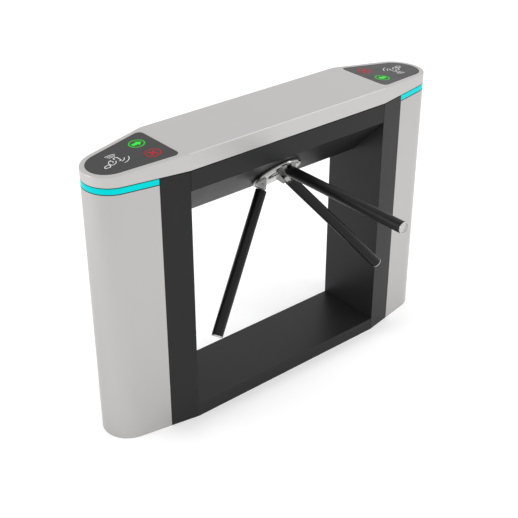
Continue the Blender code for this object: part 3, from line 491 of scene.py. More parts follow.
class Paint:
    """One material: a Principled shader with its constants, and a method that adds any other node."""

    def __init__(self, name, constants):
        self.material = bpy.data.materials.new(name)
        self.material.use_nodes = True
        self.tree = self.material.node_tree
        self.shader = self.tree.nodes["Principled BSDF"]
        for socket, value in constants.items():
            self.set(socket, value)
        self.place = self.node("ShaderNodeTexCoord", out="Object")

    def node(self, kind, settings=None, values=None, out=0):
        """Adds a node, sets it up first, then fills or links its sockets, and gives one output."""
        node = self.tree.nodes.new(kind)
        for key, value in (settings or {}).items():
            setattr(node, key, value)
        for key, value in (values or {}).items():
            self.fill(node.inputs[key], value)
        return Wire(self, node.outputs[out])

    def fill(self, socket, value):
        """Links a wire to a socket, or sets the socket's own value."""
        if isinstance(value, Wire):
            self.tree.links.new(value.socket, socket)
        elif socket.type == "RGBA" and len(value) == 3:
            socket.default_value = (*value, 1.0)
        else:
            socket.default_value = value

    def set(self, socket, value):
        """Fills one of the shader's sockets."""
        self.fill(self.shader.inputs[socket], value)

    def stretched(self, stretch):
        """The object's coordinates times a vector."""
        return self.node("ShaderNodeMapping", values={"Vector": self.place, "Scale": stretch})

    def noise(self, scale, detail=2.0, stretch=(1, 1, 1)):
        """Cloudy noise from 0 to 1, about 0.5."""
        values = {"Vector": self.stretched(stretch), "Scale": scale, "Detail": detail}
        return self.node("ShaderNodeTexNoise", values=values, out="Fac")

    def cells(self, scale, out="Distance", stretch=(1, 1, 1)):
        """Voronoi cells: the distance to the nearest centre, or a colour for each cell."""
        values = {"Vector": self.stretched(stretch), "Scale": scale}
        return self.node("ShaderNodeTexVoronoi", values=values, out=out)

    def axis(self, letter):
        """One of the object's coordinates."""
        return self.node("ShaderNodeSeparateXYZ", values={"Vector": self.place}, out=letter)

    def mix(self, share, low, high):
        """A colour between two colours."""
        return self.node("ShaderNodeMix", {"data_type": "RGBA"}, {0: share, 6: low, 7: high}, 2)

    def finished(self, base, roughness, height, depth, strength):
        """Feeds the shader's colour, roughness and normal, which follows a height of 0 to 1 times a
        depth in metres, and gives the material."""
        self.set("Base Color", base)
        self.set("Roughness", roughness)
        values = {"Strength": strength, "Distance": depth, "Height": height}
        self.set("Normal", self.node("ShaderNodeBump", values=values, out="Normal"))
        return self.material


def shade(tint, factor):
    """A colour made darker or lighter."""
    return tuple(min(1.0, channel * factor) for channel in tint)


def satin_steel(name, tint, grain):
    """Stainless sheet with a fine brushed grain: long streaks that change its gloss and its height, under
    a faint cloudiness from handling. grain gives the streaks' fineness along X, Y and Z."""
    paint = Paint(name, {"Metallic": 1.0})
    coarse = paint.noise(1.0, 3.0, grain)
    fine = paint.noise(3.1, 2.0, grain)
    cloud = paint.noise(3.5, 3.0)
    smear = paint.noise(22.0, 4.0)
    streak = coarse * 0.55 + fine * 0.45
    tone = (streak * 0.7 + cloud * 0.3).clamped()
    base = paint.mix(tone, shade(tint, 0.93), shade(tint, 1.06))
    roughness = streak * 0.13 + cloud * 0.05 + smear * 0.03 + 0.30
    return paint.finished(base, roughness, streak, 0.00004, 0.35)


def dark_coat(name, tint):
    """Satin powder coat: a fine orange peel, a slightly uneven gloss, dust in the film and faint rubbing."""
    paint = Paint(name, {"Specular IOR Level": 0.23})
    peel = paint.noise(650.0, 2.0)
    wave = paint.noise(60.0, 2.0)
    cloud = paint.noise(4.0, 4.0)
    rub = paint.noise(30.0, 5.0, (1.0, 1.0, 0.35))
    speck = paint.cells(900.0) < 0.10
    base = paint.mix(cloud, shade(tint, 0.86), shade(tint, 1.16))
    base = paint.mix((rub > 0.66) * 0.22, base, shade(tint, 1.9))
    base = paint.mix(speck * 0.30, base, shade(tint, 3.0))
    roughness = cloud * 0.10 + rub * 0.06 + 0.33
    return paint.finished(base, roughness, peel * 0.6 + wave * 0.4, 0.00012, 0.5)


def lit_strip(name, tint):
    """A milky diffuser lit from inside: brightest over its lamps, which stand 16 mm apart, with faint
    moulding flow in the plastic."""
    paint = Paint(name, {"Emission Strength": 0.75, "Specular IOR Level": 0.05})
    lamps = paint.cells(62.5, stretch=(1, 1, 0)).clamped()
    flow = paint.noise(9.0, 3.0, (1, 1, 5))
    skin = paint.noise(700.0, 2.0)
    glow = (lamps * 0.30 + flow * 0.35).clamped()
    base = paint.mix(flow, shade(tint, 0.75), shade(tint, 1.0))
    paint.set("Emission Color", paint.mix(glow, shade(tint, 1.12), shade(tint, 0.84)))
    roughness = skin * 0.15 + 0.28
    return paint.finished(base, roughness, skin, 0.00005, 0.4)


def tinted_window(name, tint):
    """Dark acrylic printed from behind: an even tint, a fine etched surface and a few soft wipe marks."""
    paint = Paint(name, {"Specular IOR Level": 0.26})
    etch = paint.noise(1400.0, 2.0)
    cloud = paint.noise(9.0, 3.0)
    wipe = paint.noise(14.0, 4.0, (0.5, 2.2, 1.0))
    base = paint.mix(cloud, shade(tint, 0.92), shade(tint, 1.10))
    roughness = wipe * 0.16 + etch * 0.06 + 0.30
    return paint.finished(base, roughness, etch, 0.00003, 0.35)


def sign_ink(name, tint, glow):
    """Lit ink: a screen of fine dots over a lamp, with an uneven film."""
    paint = Paint(name, {"Emission Strength": glow, "Specular IOR Level": 0.06})
    film = paint.noise(240.0, 3.0)
    dots = paint.cells(1600.0) > 0.42
    base = paint.mix(film * 0.6, tint, shade(tint, 0.72))
    paint.set("Emission Color", paint.mix((dots * 0.25 + film * 0.3).clamped(), tint, shade(tint, 0.6)))
    roughness = film * 0.2 + 0.35
    return paint.finished(base, roughness, film, 0.00003, 0.5)


def polished_casting(name, tint, rough=0.14):
    """Polished zinc casting: a soft waviness left by the mould under fine polishing lines."""
    paint = Paint(name, {"Metallic": 1.0})
    wave = paint.noise(55.0, 3.0)
    lines = paint.noise(30.0, 3.0, (30, 6, 6))
    pits = paint.cells(420.0) < 0.07
    cloud = paint.noise(40.0, 4.0)
    tone = (cloud * 0.7 + pits * 0.5).clamped()
    base = paint.mix(tone, shade(tint, 1.06), shade(tint, 0.84))
    roughness = lines * 0.10 + cloud * 0.10 + pits * 0.20 + (rough - 0.06)
    return paint.finished(base, roughness, wave * 0.75 + lines * 0.25, 0.00025, 0.35)


def arm_coat(name, tint):
    """Satin black coat on a drawn tube: a slow waviness, a fine texture, specks and rubbing by hands."""
    paint = Paint(name, {"Specular IOR Level": 0.22})
    peel = paint.noise(900.0, 2.0)
    wave = paint.noise(70.0, 2.0)
    rub = paint.noise(18.0, 5.0)
    base = paint.mix(rub, shade(tint, 0.8), shade(tint, 1.5))
    base = paint.mix((paint.cells(700.0) < 0.08) * 0.25, base, shade(tint, 4.0))
    roughness = rub * 0.12 + peel * 0.05 + 0.29
    return paint.finished(base, roughness, peel * 0.5 + wave * 0.5, 0.00010, 0.4)


def zinc_coat(name):
    """Zinc-plated steel: crystals of slightly different grey with a dull, faintly yellow passivation."""
    paint = Paint(name, {"Metallic": 1.0})
    crystal = paint.cells(120.0, out="Color")
    tone = paint.node("ShaderNodeSeparateColor", values={"Color": crystal}, out="Red")
    cloud = paint.noise(12.0, 4.0)
    tint = paint.mix(tone, (0.44, 0.44, 0.43), (0.58, 0.58, 0.55))
    base = paint.mix(cloud * 0.35, tint, (0.55, 0.50, 0.38))
    roughness = tone * 0.18 + cloud * 0.12 + 0.26
    return paint.finished(base, roughness, tone, 0.00003, 0.4)


def machined_steel(name):
    """Turned and ground steel: fine tool marks, a film of oil and darker spots."""
    paint = Paint(name, {"Metallic": 1.0})
    marks = paint.noise(40.0, 2.0, (4, 30, 30))
    cloud = paint.noise(35.0, 4.0)
    base = paint.mix(cloud, (0.30, 0.30, 0.31), (0.46, 0.46, 0.46))
    roughness = marks * 0.18 + cloud * 0.14 + 0.14
    return paint.finished(base, roughness, marks, 0.00004, 0.5)


def anodised(name):
    """Dark anodised aluminium: a bead-blasted skin with slight wear."""
    paint = Paint(name, {"Metallic": 1.0})
    blast = paint.noise(900.0, 2.0)
    cloud = paint.noise(30.0, 4.0)
    base = paint.mix(cloud, (0.10, 0.10, 0.11), (0.17, 0.17, 0.18))
    roughness = blast * 0.2 + cloud * 0.15 + 0.35
    return paint.finished(base, roughness, blast, 0.00006, 0.5)


def moulded_plastic(name):
    """Black moulded plastic with a leather-fine grain from the mould."""
    paint = Paint(name, {"Specular IOR Level": 0.4})
    grain = paint.cells(800.0)
    cloud = paint.noise(40.0, 4.0)
    base = paint.mix(cloud, (0.012, 0.012, 0.012), (0.030, 0.030, 0.030))
    roughness = cloud * 0.15 + grain * 0.10 + 0.42
    return paint.finished(base, roughness, grain, 0.00008, 0.5)


def rubber(name):
    """Matt black for the strips that paint the shadow lines under the lid and under the light strips, with a
    faint extruded texture and a grey bloom.
    """
    paint = Paint(name, {"Specular IOR Level": 0.15})
    bloom = paint.noise(60.0, 4.0)
    base = paint.mix(bloom, (0.004, 0.004, 0.004), (0.012, 0.012, 0.012))
    roughness = bloom * 0.2 + 0.65
    return paint.finished(base, roughness, paint.noise(500.0), 0.00005, 0.4)


def circuit_board(name):
    """Green board: copper tracks on a 5 mm pitch under the lacquer, broken up by noise, and bright pads."""
    paint = Paint(name, {"Specular IOR Level": 0.5})
    run = paint.axis("X").wrapped(0.005) < 0.0006
    cross = paint.axis("Y").wrapped(0.004) < 0.0005
    patch = paint.noise(70.0, 1.0)
    tracks = (run * (patch > 0.5) + cross * (patch < 0.5)).clamped()
    pads = paint.cells(260.0) < 0.22
    base = paint.mix(tracks * 0.8, (0.012, 0.10, 0.035), (0.035, 0.24, 0.075))
    base = paint.mix(pads * (patch > 0.62), base, (0.55, 0.52, 0.42))
    roughness = paint.noise(50.0, 3.0) * 0.2 + 0.28
    return paint.finished(base, roughness, tracks, 0.00005, 0.6)


def pale_floor(name):
    """A seamless pale floor with the faintest mottling."""
    paint = Paint(name, {"Specular IOR Level": 0.1, "Emission Strength": 0.13})
    cloud = paint.noise(1.5, 3.0)
    paint.set("Emission Color", (1.0, 1.0, 1.0))
    base = paint.mix(cloud, (0.92, 0.92, 0.92), (0.95, 0.95, 0.95))
    roughness = cloud * 0.05 + 0.88
    return paint.finished(base, roughness, paint.noise(300.0), 0.00005, 0.2)


def finish(key):
    """A finish's material, made the first time it is asked for, and the record's slot it belongs to."""
    tints = bpy.context.scene.turnstile_colours
    tint = {each: tuple(getattr(tints, each)) for each in TurnstileColours.__annotations__}
    slot, recipe, *given = {
        "steel_lid": ("stainless", satin_steel, tint["steel"], (6, 900, 900)),
        # Painted shade: the shells' steel is the lid's steel made 8% darker, for their upright sides; its
        # grain runs upright.
        "steel_shell": ("stainless", satin_steel, shade(tint["steel"], 0.92), (900, 900, 6)),
        "dark_coat": ("dark_paint", dark_coat, tint["dark"]),
        "lit_strip": ("light_diffuser", lit_strip, tint["light"]),
        "tinted_window": ("panel_window", tinted_window, tint["window"]),
        "sign_go": ("panel_window", sign_ink, tint["go"], 0.85),
        "sign_go_ring": ("panel_window", sign_ink, tint["go"], 0.25),
        "sign_stop": ("panel_window", sign_ink, tint["stop"], 0.35),
        "sign_stop_ring": ("panel_window", sign_ink, tint["stop"], 0.15),
        "sign_print": ("panel_window", sign_ink, tint["print"], 0.0),
        "casting": ("hub_chrome", polished_casting, tint["casting"]),
        "bracket": ("hub_chrome", polished_casting, shade(tint["casting"], 0.66), 0.26),
        "plug": ("arm_end", polished_casting, tint["plug"], 0.30),
        "arm_coat": ("arm_black", arm_coat, tint["arm"]),
        "zinc": ("zinc_plate", zinc_coat),
        "machined": ("machined_steel", machined_steel),
        "anodised": ("motor_housing", anodised),
        "plastic": ("black_plastic", moulded_plastic),
        # Painted shadow: the black of the strips under the lid and under the light strips.
        "rubber": ("black_plastic", rubber),
        "board": ("board", circuit_board),
    }[key]
    name = f"{key}_finish"
    if name not in bpy.data.materials:
        recipe(name, *given)
    return bpy.data.materials[name], slot


# Pieces


class TurnstilePiece:
    """What the operators share: they can be undone, and they finish or raise an error."""

    bl_options = {"REGISTER", "UNDO"}

    def execute(self, context):
        """Makes the pieces."""
        self.make(context.scene.turnstile_sizes)
        return {"FINISHED"}


class TURNSTILE_OT_lid(TurnstilePiece, bpy.types.Operator):
    """Makes the bright lid, open below, with its two window openings"""

    bl_idname = "turnstile.lid"
    bl_label = "Lid"

    def make(self, sizes):
        """The rim's section is carried round the plan: e (1 - sin a) in and e (1 - cos a) down from the
        edge, then down the skirt, round its lip and up inside. The top lies straight across between the
        sides, and its ends run from the rim to the windows' openings."""
        edge, wall, ease = sizes.edge_round, sizes.lid_wall, FINE_EASE
        half, half_out = end_path(0.0, sizes.bend_round, sizes.sheet_gap)
        places = np.concatenate((half, -half[1:-1]))
        outward = np.concatenate((half_out, -half_out[1:-1]))
        flat_in = edge + FLAT_START

        def high(x):
            """The top's level: its greatest height less its fall."""
            return TOP - soft_fall(x, sizes.fold_width)

        turn = np.linspace(0, pi / 2, 7)
        inset = np.concatenate(
            ([flat_in], edge * (1 - np.sin(turn)), [0, 0, ease, wall - ease, wall, wall, flat_in])
        )
        # The lip stands above the lid's foot by the height of the black strip below it, which paints the
        # shadow line under the lid.
        lip = COVER_Z + sizes.seal_height
        drop = np.concatenate(([0.0], edge * (1 - np.cos(turn)), [flat_in]))
        outer = places[None] - inset[:, None, None] * outward[None]
        level = np.empty(outer.shape[:2])
        fallen = high(outer[..., 0])
        level[:9] = fallen[:9] - drop[:, None]
        level[9:13] = lip + np.array((ease, 0.0, 0.0, ease))[:, None]
        level[13:] = fallen[13:] - wall
        rim = np.concatenate((outer, level[..., None]), -1)

        bend = int(np.argmax(half[:, 0] >= BEND + 0.004))
        line = half[: bend + 1] - flat_in * half_out[: bend + 1]
        rows = np.concatenate((line[:0:-1] * (-1, 1), line))
        share = np.linspace(1, -1, 48)
        middle = np.stack(np.broadcast_arrays(rows[:, :1], rows[:, 1:] * share, 0.0), -1)
        sheets = [sheet(rim, wrap=True)]
        for under in (0.0, wall):
            middle[..., 2] = high(middle[..., 0]) - under
            sheets.append(sheet(middle.copy()))

        ring = half[bend : len(half) - bend] - flat_in * half_out[bend : len(half) - bend]
        across = np.stack(np.broadcast_arrays(ring[0, 0], ring[0, 1] * -share[1:-1]), -1)
        loop = np.concatenate((ring, across))
        away = loop - WINDOW_MIDDLE
        angles = np.arctan2(away[:, 1], away[:, 0])
        ray = np.stack((np.cos(angles), np.sin(angles)), -1)
        hole = polar(window_outline(WINDOW_GAP), WINDOW_MIDDLE, angles)
        steps = ((0.0008, 0.0), (0.0002, 0.0002), (0.0, 0.0007), (0.0, wall))
        flat = [loop, *(WINDOW_MIDDLE + (hole + grow)[:, None] * ray for grow, _ in steps), loop]
        under = np.array([0.0, *(down for _, down in steps), wall])
        flat = np.stack(flat)
        level = high(flat[..., 0]) - under[:, None]
        for way in SIDES.values():
            sheets.append(sheet(np.concatenate((flat * way, level[..., None]), -1), wrap=True))
        made("lid", sheets, "steel_lid", "cover", ["top_cover"])
        # Painted shadow: a black strip below the lid's lip, carried round the whole plan, stands for the
        # shadow line under the lid's lower edge.
        section = np.array(
            ((0.0006, COVER_Z), (0.0004, COVER_Z + 0.0002), (0.0004, lip), (wall, lip), (wall, COVER_Z))
        )
        shade_strip = swept(places, outward, np.concatenate((section, section[:1])))
        shade_strip = np.concatenate((shade_strip, shade_strip[:1]))
        made("lid_seal", [sheet(shade_strip)], "rubber", "cover")


class TURNSTILE_OT_windows(TurnstilePiece, bpy.types.Operator):
    """Makes the tinted windows, flush in the lid"""

    bl_idname = "turnstile.windows"
    bl_label = "Windows"

    def make(self, sizes):
        """A window is its outline drawn in towards its middle by shares and, near its eased edge, by
        lengths, at the falling top's level."""
        angles = np.linspace(-pi, pi, 360, endpoint=False)
        ray = np.stack((np.cos(angles), np.sin(angles)), -1)
        reach = polar(window_outline(0.0), WINDOW_MIDDLE, angles)
        rows = [0.0, 0.4, 0.8, 0.985]
        inset = [reach * (1 - row) for row in rows]
        inset += [np.full(len(reach), value) for value in (0.0008, 0.0003, 0.0, 0.0)]
        down = [0, 0, 0, 0, 0, 0.0001, 0.0005, PANEL_DEPTH, PANEL_DEPTH]
        inset.append(reach)
        flat = WINDOW_MIDDLE + (reach - np.stack(inset))[..., None] * ray
        level = TOP - FALL * (flat[..., 0] - BEND) - np.array(down)[:, None]
        for side, way in SIDES.items():
            points = np.concatenate((flat * way, level[..., None]), -1)
            made(f"window_{side}", [sheet(points, wrap=True)], "tinted_window", "cover",
                 [f"display_panel_{side}"])


class TURNSTILE_OT_signs(TurnstilePiece, bpy.types.Operator):
    """Makes the passage signs: an arrow and a cross in rings, and a card with waves"""

    bl_idname = "turnstile.signs"
    bl_label = "Signs"

    def on_window(self, local, way, place):
        """Carries (along, across, height) from a sign's middle to the window: turned half round for the
        other end and lifted to the falling top."""
        flat = local[..., :2] + np.asarray(place)
        level = TOP - FALL * (flat[..., 0] - BEND) + local[..., 2]
        return np.concatenate((flat * way, level[..., None]), -1)

    def line(self, path, width, height):
        """A printed line along a path: across it runs from -1 to 1 times the half width, which shrinks
        as a half circle at both ends, and its height is h (1 - q^6)."""
        path = np.asarray(path, float)
        run = np.concatenate(([0.0], np.cumsum(np.hypot(*np.diff(path, axis=0).T))))
        tip = width / 2 * (1 - np.cos(np.linspace(0, pi / 2, 5)))
        body = spaced(width / 2, run[-1] - width / 2, width / 2)[1:-1]
        at = np.concatenate((tip, body, run[-1] - tip[::-1]))
        spine = np.stack((np.interp(at, run, path[:, 0]), np.interp(at, run, path[:, 1])), -1)
        ahead = np.gradient(spine, axis=0)
        side = np.stack((-ahead[:, 1], ahead[:, 0]), -1) / (np.hypot(*ahead.T) + 1e-12)[:, None]
        left = np.minimum(np.minimum(at, run[-1] - at) / (width / 2), 1.0)
        half = width / 2 * np.sqrt(1 - (1 - left) ** 2)
        q = np.array((-1.0, -0.85, -0.5, 0.5, 0.85, 1.0, 0.0))
        up = np.append(height * (1 - q[:6] ** 6), -PRINT_ROOT)
        flat = spine[:, None] + (half[:, None] * q)[..., None] * side[:, None]
        high = np.where(half[:, None] > 1e-9, up, 0.0)
        return np.concatenate((flat, high[..., None]), -1)

    def spin(self, angle):
        """A turn in the plane: the rows (cos a, -sin a) and (sin a, cos a)."""
        return np.array(((cos(angle), -sin(angle)), (sin(angle), cos(angle))))

    def make(self, sizes):
        """The rings are a section turned round a sign's middle, the arrow and the cross are outlines
        raised to a plate, and the card sign is made of lines."""
        height, reach, width = sizes.sign_height, sizes.ring_radius, sizes.ring_width
        turn = np.linspace(0, 2 * pi, 72, endpoint=False)
        ring = eased(
            [(reach - width / 2, -PRINT_ROOT), (reach - width / 2, height), (reach + width / 2, height),
             (reach + width / 2, -PRINT_ROOT)], 0.0001, 3,
        )
        ring = np.concatenate((ring, ring[:1]))
        circle = np.stack(
            (np.outer(ring[:, 0], np.cos(turn)), np.outer(ring[:, 0], np.sin(turn)),
             np.repeat(ring[:, 1:], len(turn), 1)), -1,
        )
        half_arrow = ((-0.10, 0.90), (-0.10, 0.42), (1.0, 0.42))
        other_half = [(x, -y) for x, y in half_arrow[::-1]]
        arrow = np.array(((-1.0, 0.0), *half_arrow, *other_half)) * ARROW_REACH
        quarter = np.array(((CROSS_BAR, CROSS_BAR), (CROSS_REACH, CROSS_BAR), (CROSS_REACH, -CROSS_BAR)))
        spins = [self.spin(angle) for angle in (0, -pi / 2, -pi, -3 * pi / 2)]
        cross = np.concatenate([quarter @ spin.T for spin in spins]) @ self.spin(pi / 4).T
        for side, way in SIDES.items():
            go = (HALF_LENGTH - sizes.sign_from_tip, -sizes.sign_side)
            stop = (HALF_LENGTH - sizes.sign_from_tip, sizes.sign_side)
            card = (HALF_LENGTH - sizes.card_from_tip, 0.0)
            for word, place, outline in (("go", go, arrow), ("stop", stop, cross)):
                made(f"sign_{word}_ring_{side}", [sheet(self.on_window(circle, way, place), wrap=True)],
                     f"sign_{word}_ring", "cover")
                plate = np.stack([np.insert(outline, 2, level, 1) for level in (-PRINT_ROOT, height)])
                made(f"sign_{word}_{side}", [sheet(self.on_window(plate, way, place), True, True)],
                     f"sign_{word}", "cover")
            sheets = [sheet(self.on_window(self.line(*each, height), way, card), wrap=True, caps=True)
                      for each in card_lines()]
            made(f"sign_card_{side}", sheets, "sign_print", "cover")


def card_lines():
    """The card sign's lines, as (path, width), about its middle: a sleeve and a hand that hold a card
    against a reader, and waves on both sides of it."""
    lines = []
    for reach in (0.019, 0.033):
        path, _ = round_arc((-0.006, 0.000), reach, 1.62, 2.95, 14)
        lines.append((path, 0.0024))
    for reach in (0.022, 0.030, 0.038):
        path, _ = round_arc((0.004, -0.002), reach, 4.10, 5.05, 12)
        lines.append((path, 0.0024))
    card = [(-0.002, 0.013), (-0.010, 0.012), (-0.010, -0.014), (0.003, -0.014), (0.003, -0.004)]
    card = eased(card, 0.003, 5)
    palm = eased([(0.004, 0.004), (0.010, 0.016), (0.026, 0.022), (0.031, 0.008), (0.024, -0.006),
                  (0.012, -0.010)], 0.009, 6)
    thumb = eased([(0.018, 0.010), (0.012, 0.002), (0.014, -0.004), (0.020, -0.003)], 0.004, 6)
    sleeve = eased([(0.034, 0.009), (0.050, 0.013), (0.053, 0.024), (0.036, 0.026), (0.031, 0.016),
                    (0.034, 0.009)], 0.004, 6)
    return [*lines, (card, 0.0028), (palm, 0.0024), (thumb, 0.0022), (sleeve, 0.0028)]


class TURNSTILE_OT_pillars(TurnstilePiece, bpy.types.Operator):
    """Makes the bright shells round the noses, the dark frames and the base"""

    bl_idname = "turnstile.pillars"
    bl_label = "Pillars"

    def make(self, sizes):
        """A shell is a wall's section with its outer corners eased, carried round the nose."""
        places, outward = end_path(SHELL_START, sizes.bend_round, sizes.sheet_gap)
        low, high, wall = SHELL[0][2], SHELL[1][2], SHELL_WALL
        outline = [(0, low), (0, high), (wall, high), (wall, low), (0, low)]
        section = eased(outline, 0.0006, 4)[4:-4]
        section = np.concatenate(([(0, low)], section, [(wall, low)]))
        for side, way in SIDES.items():
            points = swept(places, outward, section, way)
            made(f"shell_{side}", [sheet(points, wrap=True, caps=True)], "steel_shell", "cabinet",
                 [f"pillar_shell_{side}"])
            softened(f"pillar_frame_{side}", "dark_coat", sizes.paint_round, 3)
        softened("base_cover", "dark_coat", sizes.paint_round, 3)


class TURNSTILE_OT_lights(TurnstilePiece, bpy.types.Operator):
    """Makes the lit strips between the shells and the lid"""

    bl_idname = "turnstile.lights"
    bl_label = "Light strips"

    def make(self, sizes):
        """A strip and the black strip under it, which paints the shadow line below the light, are sections
        carried round the nose.
        """
        places, outward = end_path(SHELL_START, sizes.bend_round, sizes.sheet_gap)
        bottom = LIGHT[0][2]
        low, high = bottom + sizes.light_shadow_height, LIGHT[1][2] - 0.0002
        outline = [(BAR_WALL, low), (0.0004, low), (0.0004, high), (BAR_WALL, high)]
        section = eased(outline, sizes.light_round, 6)[5:-5]
        for side, way in SIDES.items():
            points = swept(places, outward, section, way)
            made(f"light_{side}", [sheet(points, wrap=True, caps=True)], "lit_strip", "cabinet",
                 [f"light_bar_{side}"])
            # Painted shadow: a black strip under the light strip stands for the shadow line between the
            # light and the shell.
            edge = np.array(((0.0005, bottom), (0.0005, low), (BAR_WALL, low), (BAR_WALL, bottom)))
            made(f"light_seal_{side}", [sheet(swept(places, outward, edge, way), wrap=True, caps=True)],
                 "rubber", "cabinet")


class TURNSTILE_OT_beam(TurnstilePiece, bpy.types.Operator):
    """Makes the dark beam under the lid"""

    bl_idname = "turnstile.beam"
    bl_label = "Beam"

    def make(self, sizes):
        softened("beam_housing", "dark_coat", sizes.paint_round, 3)


class TURNSTILE_OT_hub(TurnstilePiece, bpy.types.Operator):
    """Makes the hub's disc and cap, the cast brackets and their pins"""

    bl_idname = "turnstile.hub"
    bl_label = "Hub"

    def make(self, sizes):
        """The disc and the cap are profiles turned round the rotor's axis. The cap's dome is the ellipse
        (c cos a, f + r sin a), with a dimple in its middle."""
        back, face, reach = extent("hub_disc", ROTOR)
        bore = bore_of("hub_disc", ROTOR)
        edge, rim = SMOOTH_EASE, 0.003
        groove = [(reach - 0.0065, face), (reach - 0.0070, face - edge), (reach - 0.0080, face - edge),
                  (reach - 0.0085, face)]
        profile = [
            (bore, back), (reach - edge, back), (reach, back + edge), (reach, face - rim),
            (reach - rim, face), *groove, (bore, face), (bore, back),
        ]
        profile = eased(profile, edge, 4)
        made("disc", [turned(profile, ROTOR, sizes.turn_steps)], "casting", "rotor", ["hub_disc"])
        foot, crown, cap = extent("hub_cap", ROTOR)
        rise = crown - foot
        turn = np.linspace(pi / 2, 0.0, 14)
        dome = np.stack(((cap - 0.0015) * np.cos(turn), foot + 0.0010 + (rise - 0.0010) * np.sin(turn)), -1)
        dome = dome[dome[:, 0] > 0.0105]
        dimple = eased([(0.0, crown - 0.0022), (0.0075, crown - 0.0022), (0.0085, crown - 0.0004),
                        (0.0100, crown - 0.0004)], SMOOTH_EASE, 4)
        skirt = [(cap - 0.0012, foot + 0.0009), (cap, foot + 0.0005), (cap, foot), (0.0, foot)]
        profile = np.concatenate((dimple, dome, skirt))
        made("cap", [turned(profile, ROTOR, sizes.turn_steps)], "casting", "rotor", ["hub_cap"])
        for number in ARMS:
            softened(f"arm_bracket_{number}", "bracket", sizes.cast_round, 3)
            softened(f"pivot_pin_{number}", "machined", SMOOTH_EASE)


class TURNSTILE_OT_arms(TurnstilePiece, bpy.types.Operator):
    """Makes the arms: a cast knuckle, a black tube and a hollow end plug each"""

    bl_idname = "turnstile.arms"
    bl_label = "Arms"

    def make(self, sizes):
        """The tube and the plug are profiles turned round the arm's axis."""
        for number in ARMS:
            place, body = arm_axes(number), f"arm_{number}"
            softened(f"arm_knuckle_{number}", "casting", 0.0010, 3)
            start, end, reach = extent(f"arm_tube_{number}", place)
            bore = bore_of(f"arm_tube_{number}", place)
            profile = [(bore, start), (reach, start), (reach, end), (bore, end), (bore, start)]
            profile = eased(profile, sizes.tube_round, 5)
            made(f"tube_{number}", [turned(profile, place, sizes.turn_steps)], "arm_coat", body,
                 [f"arm_tube_{number}"])
            low, tip, head = extent(f"arm_cap_{number}", place)
            seat, hollow = end + PLUG_GAP, sizes.plug_depth
            outline = [
                (0.0, tip - hollow), (head - 0.0048, tip - hollow), (head - 0.0032, tip - 0.0006),
                (head - 0.0026, tip), (head - 0.0012, tip), (head, tip - 0.0012), (head, seat),
                (bore - PLUG_GAP, seat), (bore - PLUG_GAP, low), (0.0, low),
            ]
            radii = [0, 0.002, 0.0006, 0.0006, 0.0008, 0.0008, 0.0003, 0.0, 0.0005, 0]
            made(f"plug_{number}", [turned(eased(outline, radii, 5), place, sizes.turn_steps)],
                 "plug", body, [f"arm_cap_{number}"])


class TURNSTILE_OT_floor_fixing(TurnstilePiece, bpy.types.Operator):
    """Makes the floor rail, the floor plates and their anchor bolts"""

    bl_idname = "turnstile.floor_fixing"
    bl_label = "Floor fixing"

    def make(self, sizes):
        softened("floor_rail", "zinc", SMOOTH_EASE)
        for side in SIDES:
            softened(f"floor_plate_{side}", "zinc", SMOOTH_EASE)
            for end in ("front", "rear"):
                softened(f"anchor_bolt_{side}_{end}", "zinc")


class TURNSTILE_OT_mechanism(TurnstilePiece, bpy.types.Operator):
    """Makes what is inside the beam: plate, cage, bearings, shaft, gears, motor, lock and counter"""

    bl_idname = "turnstile.mechanism"
    bl_label = "Mechanism"

    def make(self, sizes):
        for node in ("mechanism_plate", "mechanism_cage", "shaft_nut"):
            softened(node, "zinc")
        for node in ("main_shaft", "front_bearing", "rear_bearing", "lock_pawl_left", "lock_pawl_right",
                     "lock_plunger_left", "lock_plunger_right"):
            softened(node, "machined", FINE_EASE)
        for node in ("drive_gear", "motor_pinion", "lock_wheel"):
            softened(node, "machined", TOOTH_EASE, 1)
        for node in ("bearing_housing", "gear_motor", "lock_solenoid_left", "lock_solenoid_right"):
            softened(node, "anodised", 0.0005)
        softened("encoder_disc", "plastic", 0.0001, 1)
        softened("count_sensor", "plastic")


class TURNSTILE_OT_electrics(TurnstilePiece, bpy.types.Operator):
    """Makes the control board, the power supply and the card readers"""

    bl_idname = "turnstile.electrics"
    bl_label = "Electrics"

    def make(self, sizes):
        softened("power_supply", "zinc", 0.0008)
        softened("control_board", "board")
        for side in SIDES:
            softened(f"card_reader_{side}", "plastic", 0.0010)


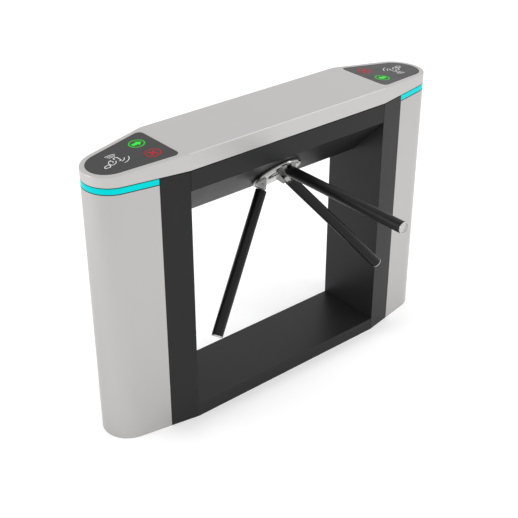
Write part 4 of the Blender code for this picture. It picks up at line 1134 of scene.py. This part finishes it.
class TURNSTILE_OT_stage(TurnstilePiece, bpy.types.Operator):
    """Makes the floor, the studio light and the camera"""

    bl_idname = "turnstile.stage"
    bl_label = "Stage"

    def make(self, sizes):
        grid = np.array(((-1, -1), (1, -1), (-1, 1), (1, 1))) * FLOOR_REACH
        points, faces = sheet(np.insert(grid, 2, 0.0, 1).reshape(2, 2, 3))
        mesh = bpy.data.meshes.new("studio_floor")
        mesh.from_pydata(points.tolist(), [], faces)
        mesh.materials.append(pale_floor("floor_finish"))
        floor = bpy.data.objects.new("studio_floor", mesh)
        bpy.context.scene.collection.objects.link(floor)
        world = bpy.data.worlds.new("studio")
        world.use_nodes = True
        sky = world.node_tree.nodes["Background"].inputs
        sky["Color"].default_value = (1.0, 1.0, 1.0, 1.0)
        sky["Strength"].default_value = SKY
        bpy.context.scene.world = world
        self.soft_light("key", (2.6, -2.6, 3.3), (0.0, 0.0, 0.7), 1.2, 34.0)
        self.soft_light("rim", (-4.0, 2.2, 2.2), (0.0, 0.0, 0.5), 1.8, 40.0)
        camera = bpy.data.objects.new("camera", bpy.data.cameras.new("camera"))
        camera.location = CAMERA_PLACE
        camera.rotation_euler = (pi / 2 - CAMERA_TILT, 0.0, CAMERA_TURN)
        camera.data.lens, camera.data.sensor_width = CAMERA_LENS, CAMERA_SENSOR
        bpy.context.scene.collection.objects.link(camera)
        bpy.context.scene.camera = camera
        bpy.context.scene.view_settings.view_transform = "Standard"

    def soft_light(self, name, place, target, size, power):
        """A square soft box that faces a target."""
        lamp = bpy.data.lights.new(name, "AREA")
        lamp.energy, lamp.size = power, size
        obj = bpy.data.objects.new(name, lamp)
        obj.location = place
        obj.rotation_euler = (Vector(target) - Vector(place)).to_track_quat("-Z", "Y").to_euler()
        bpy.context.scene.collection.objects.link(obj)


OPERATORS = tuple(TurnstilePiece.__subclasses__())  # in the order in which they are written


class TURNSTILE_PT_panel(bpy.types.Panel):
    """Lists the pieces, their sizes and their colours"""

    bl_label = "Counting turnstile"
    bl_space_type = "VIEW_3D"
    bl_region_type = "UI"
    bl_category = "Turnstile"

    def draw(self, context):
        column = self.layout.column(align=True)
        for operator in OPERATORS:
            column.operator(operator.bl_idname)
        for group, values in (
            (TurnstileSizes, context.scene.turnstile_sizes),
            (TurnstileColours, context.scene.turnstile_colours),
        ):
            box = self.layout.box()
            for name in group.__annotations__:
                box.prop(values, name)


CLASSES = (TurnstileSizes, TurnstileColours, *OPERATORS, TURNSTILE_PT_panel)


def register():
    """Adds the classes and the settings to Blender."""
    for each in CLASSES:
        bpy.utils.register_class(each)
    bpy.types.Scene.turnstile_sizes = PointerProperty(type=TurnstileSizes)
    bpy.types.Scene.turnstile_colours = PointerProperty(type=TurnstileColours)


def unregister():
    """Takes the settings and the classes out again."""
    del bpy.types.Scene.turnstile_colours
    del bpy.types.Scene.turnstile_sizes
    for each in reversed(CLASSES):
        bpy.utils.unregister_class(each)


def main():
    """Makes every piece in order."""
    register()
    for operator in OPERATORS:
        group, name = operator.bl_idname.split(".")
        getattr(getattr(bpy.ops, group), name)()
    bpy.context.view_layer.update()


if __name__ == "__main__":
    main()
